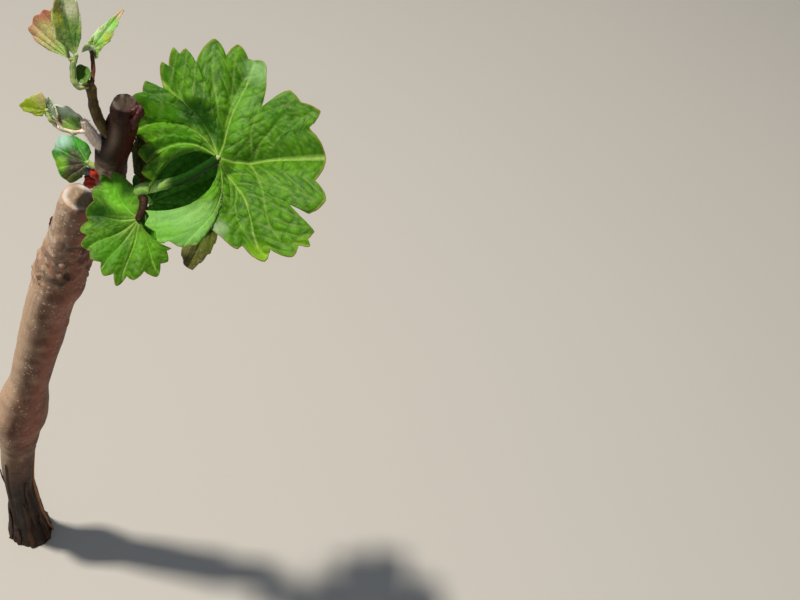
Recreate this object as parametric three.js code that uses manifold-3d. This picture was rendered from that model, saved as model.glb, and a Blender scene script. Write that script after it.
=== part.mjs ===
// A young grafted grapevine in its first spring: a woody trunk with a graft callus and a cut head,
// a pruned spur, and three short green shoots with unfolding leaves and one large toothed leaf.
// Millimetres, +Z up. The origin is the middle of the flat cut under the trunk, at ground level.

import * as THREE from "three";
import { mergeVertices } from "three/addons/utils/BufferGeometryUtils.js";
import Module from "manifold-3d";

const wasm = await Module();
wasm.setup();

// Driving dimensions
const clearance = 0.3;          // gap between a stalk and what carries it
const trunkSides = 20;
const trunkSteps = 54;
const spurSides = 14;
const spurSteps = 20;
const stemSides = 8;
const stemSteps = 9;
const upperShootSteps = 12;
const stalkSides = 6;
const upperTipSteps = 8;
const belowGround = 6;          // length of trunk that the flat cut takes off
const bladeThickness = 0.55;
const budThickness = 0.45;      // blades of the small, still unfolding leaves
const toothBulge = 0.02;        // how far a tooth's side swells out, as a share of the reach
const creaseGap = 60;           // degrees between two veins at which a pleat has its full height
const openFrom = 60;            // degrees from the midrib at which a blade starts to open towards its stalk

// Trunk: rows of x, y, height and diameter, up the leaning axis from below the ground
const trunkAxis = [
  [-0.5, 0.5, -belowGround, 15.5],
  [0, 0, 0, 13.6],
  [0.4, -0.4, 6, 11.6],
  [1.2, -1.1, 17.4, 10],
  [2.3, -2.2, 35.6, 9],
  [5.2, -3.2, 55.7, 9.5],
  [7.4, -3.7, 66.9, 11.6],
  [9.2, -4.1, 76.9, 13.6],
  [12, -4.3, 86.5, 12.2],
  [15.5, -4.6, 97.7, 10],
  [18.8, -4.9, 109.3, 10.5],
  [21.8, -5.1, 119.6, 10.9],
  [24.7, -5.4, 129.8, 10.8],
  [27.7, -5.6, 139.4, 11],
  [30.8, -5.7, 148.4, 11.4],
  [32.2, -5.9, 153.3, 11],
  [33.8, -6.1, 158.7, 9.5],
  [35.5, -6.5, 165.5, 8.5],
  [37.1, -6.9, 171, 7.7],
  [37.5, -7, 172.2, 7.2],
];

// Swellings of the trunk: height, direction in degrees from +X, how far they stand out, and their spread
const swellings = [
  { height: 2, toward: -35, out: 1.9, along: 7, across: 38 },
  { height: 4, toward: 150, out: 1.2, along: 6, across: 40 },
  { height: 77, toward: 190, out: 1.5, along: 6, across: 55 },
  { height: 80, toward: 10, out: 0.9, along: 7, across: 50 },
  { height: 141, toward: -20, out: 1.1, along: 4, across: 42 },
  { height: 147, toward: 170, out: 0.8, along: 4, across: 45 },
  { height: 151, toward: 30, out: 0.9, along: 3.5, across: 45 },
  { height: 158, toward: 250, out: 0.7, along: 3, across: 40 },
  { height: 165, toward: 0, out: 1.1, along: 5, across: 45 },
];

// Spur: last year's wood, cut above its second bud
const spurAxis = [
  [36.6, -4.4, 156, 4.6],
  [39.2, -3.4, 162, 5.2],
  [42.2, -4.2, 169.8, 6],
  [44.6, -7.3, 179.6, 6.6],
  [47.2, -9.8, 190, 6.3],
  [49.6, -11, 197, 6],
  [50.9, -12, 202, 5.2],
  [51.5, -12.6, 204.8, 4.4],
];

// Green shoots: the upper one to its first leaf joint, the downy side one, and the low right one
const upperShootAxis = [
  [49, -11, 193.5, 1.6],
  [47.1, -12.6, 197.2, 1.9],
  [46, -13.4, 201.7, 2],
  [45.8, -13.7, 205.3, 1.7],
  [45.8, -13.9, 207.6, 1.9],
  [45.6, -14.1, 209.1, 1.1],
];
const upperTipAxis = [
  [45.5, -14.3, 208.4, 0.9],
  [44.3, -15.5, 208.7, 1],
  [43.5, -15.5, 210, 1.1],
  [43.3, -14.9, 211.7, 1.1],
  [43.3, -14.5, 213.4, 0.8],
];
const sideShootAxis = [
  [47.4, -10.6, 190.5, 2],
  [45.4, -12.4, 193.6, 2.3],
  [44.3, -13.1, 196.4, 2],
  [43.4, -13.4, 199.2, 1.2],
];
const lowShootAxis = [
  [45.2, -8.6, 177.2, 2.4],
  [48.6, -11.2, 180.4, 2.3],
  [51.4, -12.3, 182, 2.6],
  [53.2, -12.9, 182.6, 2.2],
];

// Leaves. Angles turn from the midrib in degrees, seen from above the blade; reach and lift are in mm.
// A tip is a tooth or lobe point and a sinus the bottom of the gap between two lobes. heading, rise and
// bank turn the blade about its hub, fold turns its two halves up along the midrib and arch bends it
// along the midrib; gape opens the gap at the stalk. notch is the depth between two teeth, as a share of
// their mean reach. A vein row is its angle and the height of the pleat after it, as a share of the
// distance from the hub. A fine blade has a column between its corners too.
const leaves = [
  {
    name: "leaf_big", colour: 0x4f8f26, thickness: bladeThickness, rows: 4, fine: true,
    hub: [68.4, -10.9, 194.8], heading: 19, rise: 2, bank: 30, hubRadius: 0.5, knob: 1.1,
    notch: 0.1, gape: 55, fold: 0, foldRun: 6, arch: -4,
    tips: [
      [-144, 17.3, 1.8], [-137.5, 19.3, 1.8], [-126, 20.4, 1.8], [-114.5, 19.2, 1.6], [-107, 18, 1.2],
      [-82, 18.4, 1], [-70.5, 22.2, 1.5], [-58.5, 24.3, 1.5], [-49.5, 24.8, 1.2], [-43.3, 23.6, 0.8],
      [-27, 22.3, 1.2], [-2, 20.8, 0.6], [21.5, 21.8, 0.8], [41, 19.7, -0.3], [63, 22.2, 0.2],
      [76.5, 23.8, -0.3], [87.6, 24.4, -1.4], [102, 23.2, -1.8], [106.8, 24.2, -2.1], [114.5, 22.9, -2.7],
      [128, 20.6, -2.8], [139, 20.2, -3.7], [152, 17.5, -4.4], [168, 15.2, -5.4], [183, 14.5, -6.2],
      [198, 14, -7],
    ],
    sinuses: [
      [-139.5, 17.6, 1.8], [-130.5, 19, 1.8], [-121.5, 19.2, 1.7], [-111.5, 18.4, 1.4],
      [-99.5, 14, 0.2], [-91, 16, 0.6], [-79, 18, 1.1], [-65.5, 20.6, 1.5], [-53, 23.2, 1.3],
      [-48, 23.6, 1.1], [-41, 19.4, 0.6], [-38.5, 16.2, 0.3], [-37, 20.6, 0.3], [-17.5, 19, 0.8],
      [15.5, 18.6, 0.5], [31, 19.6, 0.1], [48, 13.6, -0.3], [53, 16.9, -0.1], [57, 19.2, 0],
      [70.5, 21.8, -0.1], [82, 21.2, -0.8], [98.5, 20, -1.7], [105.5, 22.5, -2], [112.5, 21.4, -2.4],
      [122.5, 16.6, -2.5], [134, 19.2, -3.4], [144, 16.4, -3.9], [160, 14, -5], [175, 13, -5.8],
    ],
    veins: [
      [-145, 0.05], [-112, 0.08], [-66, 0.08], [-2, 0.09], [71, 0.12], [122, 0.3], [147, 0.34],
      [172, 0.34], [198, 0],
    ],
    stalk: [
      [51.6, -12.8, 182.2, 2.5], [53.4, -13.1, 184.2, 2.4], [57.4, -13.2, 186.6, 2.1],
      [62.6, -12.6, 189.6, 1.8], [68.4, -10.9, 194.6, 1.7],
    ],
  },
  {
    name: "leaf_low", colour: 0x46831f, thickness: bladeThickness, rows: 3, fine: true,
    hub: [54.4, -17.6, 180.6], heading: -126, rise: -20, bank: -29, hubRadius: 0.4, knob: 0.8,
    notch: 0.12, gape: 26, fold: 0, foldRun: 4, arch: -12,
    tips: [
      [-139, 2.2, 0.2], [-124, 6.6, 0.5], [-104, 10.6, 0.3], [-92, 11.4, 0], [-76, 10.6, -0.4],
      [-50, 10.2, -0.8], [-29, 11.4, -0.8], [-15, 12.2, -0.6], [0, 12.2, -0.6],
      [18, 13.2, -0.8], [31, 13.9, -1], [43, 12.2, -1],
      [66, 11.8, -1.2], [82, 10, -1.2], [97, 8.4, -1],
    ],
    sinuses: [[-131, 4.1, 0.4], [-114, 8.5, 0.4], [-63, 9.2, -0.4], [-7, 11.2, -0.4], [54, 10.4, -0.9]],
    veins: [[-139, 0.1], [-96, 0.14], [-42, 0.16], [-8, 0.2], [14, 0.2], [36, 0.18], [70, 0.14], [97, 0]],
    stalk: [
      [52.2, -12.8, 182.4, 1.4], [54.4, -14.5, 183.3, 1.7], [54.8, -16.2, 182.3, 1.7],
      [54.3, -17.5, 180.8, 1.3],
    ],
  },
  {
    name: "leaf_under", colour: 0x6f7a32, thickness: budThickness, rows: 3, fine: false,
    hub: [67.3, -11.5, 177.7], heading: -116, rise: -46, bank: -33, hubRadius: 0.3, knob: 0.6,
    notch: 0, gape: 10, fold: 35, foldRun: 1.5, arch: -20,
    tips: [
      [-64, 3.6, 0], [-45, 6, -0.3], [-25.5, 7.6, -0.4], [-16, 9.4, -0.3], [-3, 10.4, -0.1],
      [5, 10.6, -0.1], [13.5, 8.8, -0.3], [21.5, 6.6, -0.4], [35, 4.5, -0.6], [60, 2.6, 0],
    ],
    sinuses: [],
    veins: [[-64, 0.16], [-24, 0.2], [0, 0.2], [24, 0.16], [60, 0]],
    stalk: [
      [52.4, -12.4, 181.8, 1.1], [56, -10.4, 180.6, 1], [60.6, -9.2, 180.6, 0.9],
      [64.8, -10.2, 180.6, 0.9], [67.3, -11.5, 177.7, 0.9],
    ],
  },
  {
    name: "leaf_behind", colour: 0x6a5a26, thickness: budThickness, rows: 3, fine: false,
    hub: [52.9, -11, 185], heading: 107, rise: 64, bank: 13, hubRadius: 0.3, knob: 0.6,
    notch: 0, gape: 8, fold: 52, foldRun: 1, arch: 10,
    tips: [
      [-52, 2.6, 0], [-30, 5, 0.2], [-12, 7.6, 0.2], [0, 9.4, 0], [14, 7.8, 0.2], [31, 5, 0.2], [50, 2.6, 0],
    ],
    sinuses: [],
    veins: [[-52, 0.12], [-20, 0.16], [0, 0.16], [22, 0.12], [50, 0]],
    stalk: [[52.2, -12.2, 182.2, 1.1], [52.7, -11.4, 183.8, 0.9], [52.9, -11, 185.2, 0.9]],
  },
  {
    name: "leaf_inner", colour: 0x2c5a1a, thickness: budThickness, rows: 3, fine: false,
    hub: [55, -12.4, 180.6], heading: 29, rise: 14, bank: 36, hubRadius: 0.3, knob: 0.7,
    notch: 0.06, gape: 14, fold: 0, foldRun: 4, arch: -10,
    tips: [
      [-150, 3.4, 0], [-125, 6.4, 0], [-104, 7.8, -0.1], [-81, 8, -0.1], [-57, 9.3, -0.3], [-38, 11.9, -0.4],
      [-21, 14.1, -0.4], [-5, 16.7, -0.1], [10.5, 17.2, 0], [28, 16.4, -0.2], [43.5, 14.7, -0.4],
      [59.5, 12.5, -0.5], [74, 9.4, -0.4], [100, 6.5, -0.2], [135, 3.6, 0],
    ],
    sinuses: [],
    veins: [
      [-150, 0.06], [-100, 0.14], [-62, 0.16], [-26, 0.16], [4, 0.16], [34, 0.18], [66, 0.14], [100, 0.08],
      [135, 0],
    ],
    stalk: [[52.6, -12.6, 182.2, 1.2], [54, -12.2, 181.6, 1.1], [55, -12.4, 180.8, 1]],
  },
  {
    name: "leaf_cup", colour: 0x4d9a2e, thickness: budThickness, rows: 3, fine: false,
    hub: [41.6, -9.8, 185.2], heading: -150, rise: 4, bank: -34, hubRadius: 0.3, knob: 0.7,
    notch: 0, gape: 12, fold: -38, foldRun: 6, arch: 46,
    tips: [
      [-117, 2.6, 0], [-90.5, 5, 0.2], [-70, 7.9, 0.4], [-50, 9.1, 0.2], [-33.5, 8.5, 0],
      [-10.5, 6.4, 0], [12.5, 6.1, -0.1], [37.5, 5.6, -0.2], [60, 3.2, 0],
    ],
    sinuses: [],
    veins: [[-117, 0.1], [-72, 0.12], [-34, 0.12], [0, 0.12], [30, 0.1], [60, 0]],
    stalk: [[45, -9.6, 183.4, 1.5], [43, -9.8, 184.6, 1.3], [41.6, -9.8, 185.2, 1.1]],
  },
  {
    name: "leaf_side_upper", colour: 0x7f9a5a, thickness: budThickness, rows: 3, fine: false,
    hub: [42.9, -13, 196.4], heading: -171, rise: 30, bank: -35, hubRadius: 0.3, knob: 0.6,
    notch: 0.05, gape: 8, fold: 40, foldRun: 1.5, arch: -10,
    tips: [
      [-69, 1.7, 0], [-45, 3.6, 0.1], [-28.5, 5.7, 0.1], [-15, 7.3, 0], [3.5, 6.1, 0], [32.5, 4.7, 0],
      [60, 2.8, 0],
    ],
    sinuses: [],
    veins: [[-69, 0.14], [-26, 0.16], [0, 0.16], [26, 0.14], [60, 0]],
    stalk: [[44.2, -13, 195.8, 1], [42.9, -13, 196.4, 0.9]],
  },
  {
    name: "leaf_side_fold", colour: 0x6f8560, thickness: budThickness, rows: 3, fine: false,
    hub: [38.6, -15.4, 198.6], heading: 116, rise: 53, bank: -15, hubRadius: 0.25, knob: 0.5,
    notch: 0.05, gape: 6, fold: 44, foldRun: 1, arch: 10,
    tips: [
      [-39.5, 1.9, 0], [-14, 3.4, 0], [7.5, 5.1, 0], [22.5, 4.2, 0], [39.5, 2.1, 0],
    ],
    sinuses: [],
    veins: [[-39.5, 0.12], [4, 0.14], [39.5, 0]],
    stalk: [
      [44.2, -13.3, 197, 0.9], [42.4, -14.9, 197.4, 0.75], [40.2, -15.6, 197.9, 0.7],
      [38.6, -15.4, 198.6, 0.7],
    ],
  },
  {
    name: "leaf_side_tip", colour: 0x8fa62c, thickness: budThickness, rows: 3, fine: false,
    hub: [37.4, -15.3, 201.4], heading: -169, rise: 9, bank: -29, hubRadius: 0.25, knob: 0.55,
    notch: 0.05, gape: 8, fold: 16, foldRun: 2, arch: 12,
    tips: [
      [-77.5, 2.4, 0], [-63, 3.6, 0.1], [-39, 3.7, 0.2], [-19, 4.2, 0.1], [-2.5, 5, 0], [10, 4.2, 0],
      [27, 2.5, 0], [65.5, 1.3, 0],
    ],
    sinuses: [],
    veins: [[-77.5, 0.1], [-44, 0.16], [0, 0.14], [34, 0.1], [65.5, 0]],
    stalk: [[38.7, -15.5, 199, 0.7], [38.3, -16.2, 200.2, 0.65], [37.4, -15.3, 201.4, 0.6]],
  },
  {
    name: "leaf_top_left", colour: 0x9a9256, thickness: budThickness, rows: 3, fine: false,
    hub: [42.9, -14.4, 213.6], heading: 157, rise: 21, bank: -35, hubRadius: 0.25, knob: 0.5,
    notch: 0.035, gape: 4, fold: 10, foldRun: 3, arch: -14,
    tips: [
      [-35.5, 5.1, 0], [-29.5, 8.9, 0.2], [-19, 9.5, 0.2], [-7.5, 9.4, 0.1], [7.5, 8.8, 0],
      [15, 7.1, 0], [22, 4.2, 0],
    ],
    sinuses: [],
    veins: [[-35.5, 0.12], [-16, 0.2], [0, 0.2], [12, 0.12], [22, 0]],
    stalk: [[43.4, -14.6, 212.6, 0.7], [42.9, -14.4, 213.6, 0.65]],
  },
  {
    name: "leaf_top_centre", colour: 0x76924a, thickness: budThickness, rows: 3, fine: false,
    hub: [43.7, -13.9, 214.2], heading: 123, rise: 52, bank: 14, hubRadius: 0.25, knob: 0.5,
    notch: 0.04, gape: 4, fold: 34, foldRun: 1.5, arch: -8,
    tips: [
      [-28, 3.2, 0], [-17.5, 6.5, 0], [-11.5, 9.4, 0], [-2, 11.3, 0], [12, 10.4, 0], [29, 8.3, 0],
      [49.5, 5, 0],
    ],
    sinuses: [],
    veins: [[-28, 0.12], [-14, 0.16], [2, 0.16], [24, 0.14], [49.5, 0]],
    stalk: [[43.5, -14.5, 213, 0.7], [43.7, -13.9, 214.2, 0.65]],
  },
  {
    name: "leaf_top_right", colour: 0x6f9a38, thickness: budThickness, rows: 3, fine: false,
    hub: [44.1, -7.9, 211.6], heading: 70, rise: 25, bank: 25, hubRadius: 0.25, knob: 0.8,
    notch: 0.02, gape: 4, fold: 30, foldRun: 1.2, arch: 10,
    tips: [
      [-128, 2, 0], [-112, 2.1, 0], [-94, 1.5, 0], [-76, 1.4, 0], [-60, 1.6, 0], [-45, 2.1, 0], [-31, 3.1, 0],
      [-17, 5.1, 0], [-6, 7.4, 0], [0, 10.4, 0], [5, 7.3, 0], [9, 5.8, 0], [15, 4.6, 0], [26, 2.8, 0],
      [50, 1.6, 0], [78, 1.3, 0], [105, 1.5, 0], [125, 1.7, 0], [148, 1.9, 0],
    ],
    sinuses: [],
    veins: [[-128, 0.1], [-62, 0.1], [-24, 0.14], [0, 0.14], [24, 0.1], [62, 0.1], [148, 0]],
    stalk: [
      [45.8, -13.9, 208, 0.8], [45.7, -12.2, 209.3, 0.7], [45, -10, 210.9, 0.7], [44.1, -7.9, 211.6, 0.7],
    ],
  },
  {
    name: "leaf_top_bract", colour: 0x3d5a26, thickness: budThickness, rows: 3, fine: false,
    hub: [45.5, -15.4, 209.6], heading: 125, rise: 18, bank: -20, hubRadius: 0.2, knob: 0.45,
    notch: 0.02, gape: 4, fold: 14, foldRun: 1.5, arch: 6,
    tips: [
      [-50, 2, 0], [-22, 3.4, 0], [0, 4.4, 0], [24, 3.2, 0], [50, 1.9, 0],
    ],
    sinuses: [],
    veins: [[-50, 0.08], [0, 0.08], [50, 0]],
    stalk: [[45.7, -14.2, 208.4, 0.7], [45.5, -15.4, 209.6, 0.6]],
  },
];

// Turns degrees into radians
function radians(degrees) {
  return THREE.MathUtils.degToRad(degrees);
}

// A closed triangle mesh whose shared corners are merged, as a solid
function toSolid(geometry) {
  geometry.deleteAttribute("normal");
  geometry.deleteAttribute("uv");
  const merged = mergeVertices(geometry, 1e-5);
  return new wasm.Manifold(new wasm.Mesh({
    numProp: 3,
    vertProperties: new Float32Array(merged.attributes.position.array),
    triVerts: new Uint32Array(merged.index.array),
  }));
}

// A solid back as a geometry that a mesh can show
function toGeometry(solid) {
  const mesh = solid.getMesh();
  const geometry = new THREE.BufferGeometry();
  geometry.setAttribute("position", new THREE.BufferAttribute(new Float32Array(mesh.vertProperties), 3));
  geometry.setIndex(new THREE.BufferAttribute(new Uint32Array(mesh.triVerts), 1));
  geometry.computeVertexNormals();
  return geometry;
}

// The largest piece of a solid that a cut may have parted
function largest(solid) {
  return solid.decompose().reduce((best, piece) => (piece.volume() > best.volume() ? piece : best));
}

// Diameter at a place along the axis, between its rows
function diameterAt(axis, t) {
  const place = t * (axis.length - 1);
  const row = Math.min(Math.floor(place), axis.length - 2);
  const share = place - row;
  const ease = share * share * (3 - 2 * share);
  return THREE.MathUtils.lerp(axis[row][3], axis[row + 1][3], ease);
}

// How far the trunk's swellings stand out at a height and direction
function swellingAt(height, direction, list) {
  return list.reduce((sum, one) => {
    const turn = THREE.MathUtils.euclideanModulo(direction - one.toward + 180, 360) - 180;
    const rise = (height - one.height) / one.along;
    return sum + one.out * Math.exp(-rise * rise - (turn / one.across) ** 2);
  }, 0);
}

// A limb: a closed cylinder bent along its axis, with its own diameter at every height
function limb(axis, sides, steps, grow = 0, bumps = []) {
  const curve = new THREE.CatmullRomCurve3(axis.map(([x, y, z]) => new THREE.Vector3(x, y, z)));
  const frames = curve.computeFrenetFrames(steps);
  const geometry = new THREE.CylinderGeometry(1, 1, 1, sides, steps);
  const position = geometry.attributes.position;
  const point = new THREE.Vector3();
  for (let i = 0; i < position.count; i += 1) {
    point.fromBufferAttribute(position, i);
    const step = Math.round((point.y + 0.5) * steps);
    const t = curve.getUtoTmapping(step / steps);
    const centre = curve.getPoint(t);
    const across = frames.normals[step];
    const depth = new THREE.Vector3().crossVectors(across, frames.tangents[step]);
    const out = across.clone().multiplyScalar(point.x).addScaledVector(depth, point.z);
    const direction = THREE.MathUtils.radToDeg(Math.atan2(out.y, out.x));
    const radius = diameterAt(axis, t) / 2 + swellingAt(centre.z, direction, bumps) + grow;
    const end = step === 0 ? -grow : (step === steps ? grow : 0);
    point.copy(centre).addScaledVector(out, radius).addScaledVector(frames.tangents[step], end);
    position.setXYZ(i, point.x, point.y, point.z);
  }
  return toSolid(geometry);
}

// A length laid along an arc that turns by an angle over a run and then goes straight on
function bend(length, turn, run) {
  const onArc = Math.min(length, run);
  const angle = turn * onArc / run;
  const past = length - onArc;
  const forward = turn === 0 ? onArc : Math.sin(angle) * run / turn;
  const up = turn === 0 ? 0 : (1 - Math.cos(angle)) * run / turn;
  return { forward: forward + past * Math.cos(angle), up: up + past * Math.sin(angle), angle };
}

// The margin's corners in order: tips, sinuses, and a notch between each two tips that stand side by side
function marginOf(leaf) {
  const tips = leaf.tips.map(([angle, reach, lift]) => ({ angle, reach, lift, tip: true }));
  const sinuses = leaf.sinuses.map(([angle, reach, lift]) => ({ angle, reach, lift, tip: false }));
  const corners = [...tips, ...sinuses].sort((a, b) => a.angle - b.angle);
  return corners.flatMap((corner, i) => {
    const next = corners[i + 1];
    if (!next || !corner.tip || !next.tip) return [corner];
    return [corner, {
      angle: (corner.angle + next.angle) / 2,
      reach: (corner.reach + next.reach) / 2 * (1 - leaf.notch),
      lift: (corner.lift + next.lift) / 2,
      tip: false,
    }];
  });
}

// Height of the pleats: creased down along the veins and raised between them
function pleatAt(leaf, angle) {
  const last = leaf.veins.length - 1;
  const clamped = THREE.MathUtils.clamp(angle, leaf.veins[0][0], leaf.veins[last][0]);
  const after = leaf.veins.findIndex((vein) => vein[0] >= clamped);
  const [from, height] = leaf.veins[Math.max(after - 1, 0)];
  const to = leaf.veins[Math.max(after, 1)][0];
  const share = (clamped - from) / (to - from);
  return height * (to - from) / creaseGap * Math.sin(Math.PI * share);
}

// A blade point, from its margin corner, its share of the way out from the hub and its side
function bladePoint(leaf, corner, share, side, grow) {
  const reach = leaf.hubRadius + share * (corner.reach + grow - leaf.hubRadius);
  const edge = leaf.tips[corner.angle < 0 ? 0 : leaf.tips.length - 1][0];
  const span = Math.max(Math.abs(edge) - openFrom, 1);
  const spread = THREE.MathUtils.clamp((Math.abs(corner.angle) - openFrom) / span, 0, 1);
  const angle = radians(corner.angle - Math.sign(corner.angle) * leaf.gape * (1 - share) * spread);
  const height = corner.lift * share * share + pleatAt(leaf, corner.angle) * reach;
  const offset = height + side * (leaf.thickness / 2 + grow);
  const midrib = Math.max(...leaf.tips.map((tip) => tip[1]));
  const across = reach * Math.sin(angle);
  const sideways = bend(Math.abs(across), radians(leaf.fold), leaf.foldRun);
  const y = Math.sign(across) * (sideways.forward - offset * Math.sin(sideways.angle));
  const raised = sideways.up + offset * Math.cos(sideways.angle);
  const length = reach * Math.cos(angle);
  const onward = bend(Math.abs(length), radians(-leaf.arch), midrib);
  const x = Math.sign(length) * (onward.forward - raised * Math.sin(onward.angle));
  return new THREE.Vector3(x, y, onward.up + raised * Math.cos(onward.angle));
}

// A blade: a thin closed box spread as a fan round the hub, with its far edge cut to the margin
function blade(leaf, grow = 0) {
  const corners = marginOf(leaf);
  const columns = corners.flatMap((corner, i) => {
    const next = corners[i + 1];
    if (!next || !leaf.fine) return [corner];
    const middle = {
      angle: (corner.angle + next.angle) / 2,
      reach: (corner.reach + next.reach) / 2 + toothBulge * corner.reach,
      lift: (corner.lift + next.lift) / 2,
    };
    return [corner, middle];
  });
  const last = columns.length - 1;
  const geometry = new THREE.BoxGeometry(1, 1, 1, last, leaf.rows, 1);
  const position = geometry.attributes.position;
  const turn = new THREE.Euler(radians(leaf.bank), radians(-leaf.rise), radians(leaf.heading), "ZYX");
  const hub = new THREE.Vector3(...leaf.hub);
  for (let i = 0; i < position.count; i += 1) {
    const column = Math.round((0.5 - position.getX(i)) * last);
    const share = position.getY(i) + 0.5;
    const side = Math.sign(position.getZ(i));
    const point = bladePoint(leaf, columns[column], share, side, grow).applyEuler(turn).add(hub);
    position.setXYZ(i, point.x, point.y, point.z);
  }
  return toSolid(geometry);
}

// A knob over the hub, where the veins leave the stalk
function knob(leaf, grow = 0) {
  const geometry = new THREE.IcosahedronGeometry(leaf.knob + grow, 1);
  geometry.translate(...leaf.hub);
  return toSolid(geometry);
}

// A whole leaf: blade, knob and stalk in one body
function wholeLeaf(leaf, grow = 0) {
  const stalk = limb(leaf.stalk, stalkSides, 2 * leaf.stalk.length, grow);
  return blade(leaf, grow).add(knob(leaf, grow)).add(stalk);
}

// Every limb and leaf by name, at its real size or grown by the clearance
const makers = {
  trunk: (grow) => limb(trunkAxis, trunkSides, trunkSteps, grow, swellings),
  spur: (grow) => limb(spurAxis, spurSides, spurSteps, grow),
  shoot_top: (grow) => limb(upperShootAxis, stemSides, upperShootSteps, grow),
  shoot_tip: (grow) => limb(upperTipAxis, stalkSides, upperTipSteps, grow),
  shoot_side: (grow) => limb(sideShootAxis, stemSides, stemSteps, grow),
  shoot_low: (grow) => limb(lowShootAxis, stemSides, stemSteps, grow),
};
leaves.forEach((leaf) => {
  makers[leaf.name] = (grow) => wholeLeaf(leaf, grow);
});

const colours = {
  trunk: 0x8a6248,
  spur: 0x5a4030,
  shoot_top: 0x6a6236,
  shoot_tip: 0x8ea058,
  shoot_side: 0xb5a890,
  shoot_low: 0x9aa878,
};
leaves.forEach((leaf) => {
  colours[leaf.name] = leaf.colour;
});

// Each piece is cut clear of what stands before it in this order, so that stalks meet their carriers
const order = [
  ["trunk", []],
  ["spur", ["trunk"]],
  ["shoot_top", ["spur"]],
  ["shoot_side", ["spur"]],
  ["shoot_low", ["spur"]],
  ["shoot_tip", ["shoot_top"]],
  ["leaf_big", ["shoot_low", "spur"]],
  ["leaf_low", ["shoot_low", "spur", "trunk", "leaf_big"]],
  ["leaf_under", ["shoot_low", "leaf_big", "leaf_low"]],
  ["leaf_behind", ["shoot_low", "leaf_big", "leaf_under", "spur"]],
  ["leaf_inner", ["shoot_low", "leaf_big", "leaf_low", "leaf_under", "leaf_behind"]],
  ["leaf_cup", ["spur", "trunk"]],
  ["leaf_side_upper", ["shoot_side"]],
  ["leaf_side_fold", ["shoot_side", "leaf_side_upper"]],
  ["leaf_side_tip", ["leaf_side_fold", "leaf_side_upper"]],
  ["leaf_top_left", ["shoot_tip"]],
  ["leaf_top_centre", ["shoot_tip", "leaf_top_left"]],
  ["leaf_top_right", ["shoot_top"]],
  ["leaf_top_bract", ["shoot_top", "shoot_tip"]],
];

// Everything under the ground, which the flat cut takes off
function underground() {
  const side = 10 * belowGround;
  const geometry = new THREE.BoxGeometry(side, side, side);
  geometry.translate(0, 0, -side / 2);
  return toSolid(geometry);
}

const vine = new THREE.Group();
order.forEach(([name, carriers]) => {
  let solid = makers[name](0);
  carriers.forEach((carrier) => {
    solid = solid.subtract(makers[carrier](clearance));
  });
  if (name === "trunk") solid = solid.subtract(underground());
  const material = new THREE.MeshStandardMaterial({ color: colours[name], roughness: 0.6, metalness: 0 });
  const mesh = new THREE.Mesh(toGeometry(largest(solid)), material);
  mesh.name = name;
  vine.add(mesh);
});

export default vine;
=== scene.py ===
from math import atan2, cos, degrees, exp, floor, hypot, pi, radians, sin
from random import Random

import bmesh
import bpy
import numpy as np
from mathutils import Euler, Matrix, Vector, noise


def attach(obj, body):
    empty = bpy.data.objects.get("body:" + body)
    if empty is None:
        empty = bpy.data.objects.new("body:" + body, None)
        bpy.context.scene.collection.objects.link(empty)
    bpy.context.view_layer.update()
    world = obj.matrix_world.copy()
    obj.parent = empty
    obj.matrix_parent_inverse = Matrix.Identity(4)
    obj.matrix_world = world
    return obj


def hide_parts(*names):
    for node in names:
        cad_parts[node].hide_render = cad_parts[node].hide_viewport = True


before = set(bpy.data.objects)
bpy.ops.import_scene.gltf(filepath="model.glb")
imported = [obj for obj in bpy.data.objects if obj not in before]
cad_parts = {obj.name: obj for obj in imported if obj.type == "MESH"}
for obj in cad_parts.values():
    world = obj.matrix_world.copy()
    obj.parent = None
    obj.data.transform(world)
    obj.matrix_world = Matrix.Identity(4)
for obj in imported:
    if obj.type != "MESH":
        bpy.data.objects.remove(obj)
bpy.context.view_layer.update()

mm = 0.001
up = Vector((0, 0, 1))
noise.seed_set(5)    # noise_vector reads this seed, and without it the clock


# Camera, floor and light

camera = {
    "lens": 45, "sensor": 36,      # mm
    "width": 800, "height": 600,   # the picture that the pixels below are read in
    "pitch": 48, "roll": 12,       # degrees down from level, and turned about the view
    "footPixel": (30, 527),        # where the middle of the trunk's foot shows
    "footDepth": 344,              # mm from the camera, along the view
}

lights = {
    # place in m, size in m, watts, colour
    "window": ((-0.19, -0.04, 1.14), 0.06, 14, "#fff6e8"),
    "fill": ((0.5, -0.8, 0.6), 0.9, 1.0, "#e6efff"),
}
lightTarget = Vector((0.04, 0, 0.12))
skyColour, skyStrength = "#dfe9f6", 0.22


def addObject(name, data):
    body = bpy.data.objects.new(name, data)
    bpy.context.scene.collection.objects.link(body)
    return body


def aimCamera(c):
    pitch, roll = radians(c["pitch"]), radians(c["roll"])
    forward = Vector((0, cos(pitch), -sin(pitch)))
    level, lift = Vector((1, 0, 0)), Vector((0, sin(pitch), cos(pitch)))
    right = level * cos(roll) + lift * sin(roll)
    top = lift * cos(roll) - level * sin(roll)
    perPixel = c["sensor"] / c["lens"] / c["width"]
    x, y = c["footPixel"]
    ray = forward + right * (x - c["width"] / 2) * perPixel - top * (y - c["height"] / 2) * perPixel
    data = bpy.data.cameras.new("camera")
    data.lens, data.sensor_width = c["lens"], c["sensor"]
    data.clip_start, data.clip_end = 0.01, 20
    body = addObject("camera", data)
    body.location = -ray * c["footDepth"] * mm
    body.rotation_euler = Matrix((right, top, -forward)).transposed().to_euler()
    bpy.context.scene.camera = body
    bpy.context.scene.view_settings.view_transform = "Standard"


def tone(text):
    # an sRGB hex colour as linear red, green, blue and alpha
    parts = [int(text[i:i + 2], 16) / 255 for i in (1, 3, 5)]
    return [p / 12.92 if p <= 0.04045 else ((p + 0.055) / 1.055) ** 2.4 for p in parts] + [1]


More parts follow.
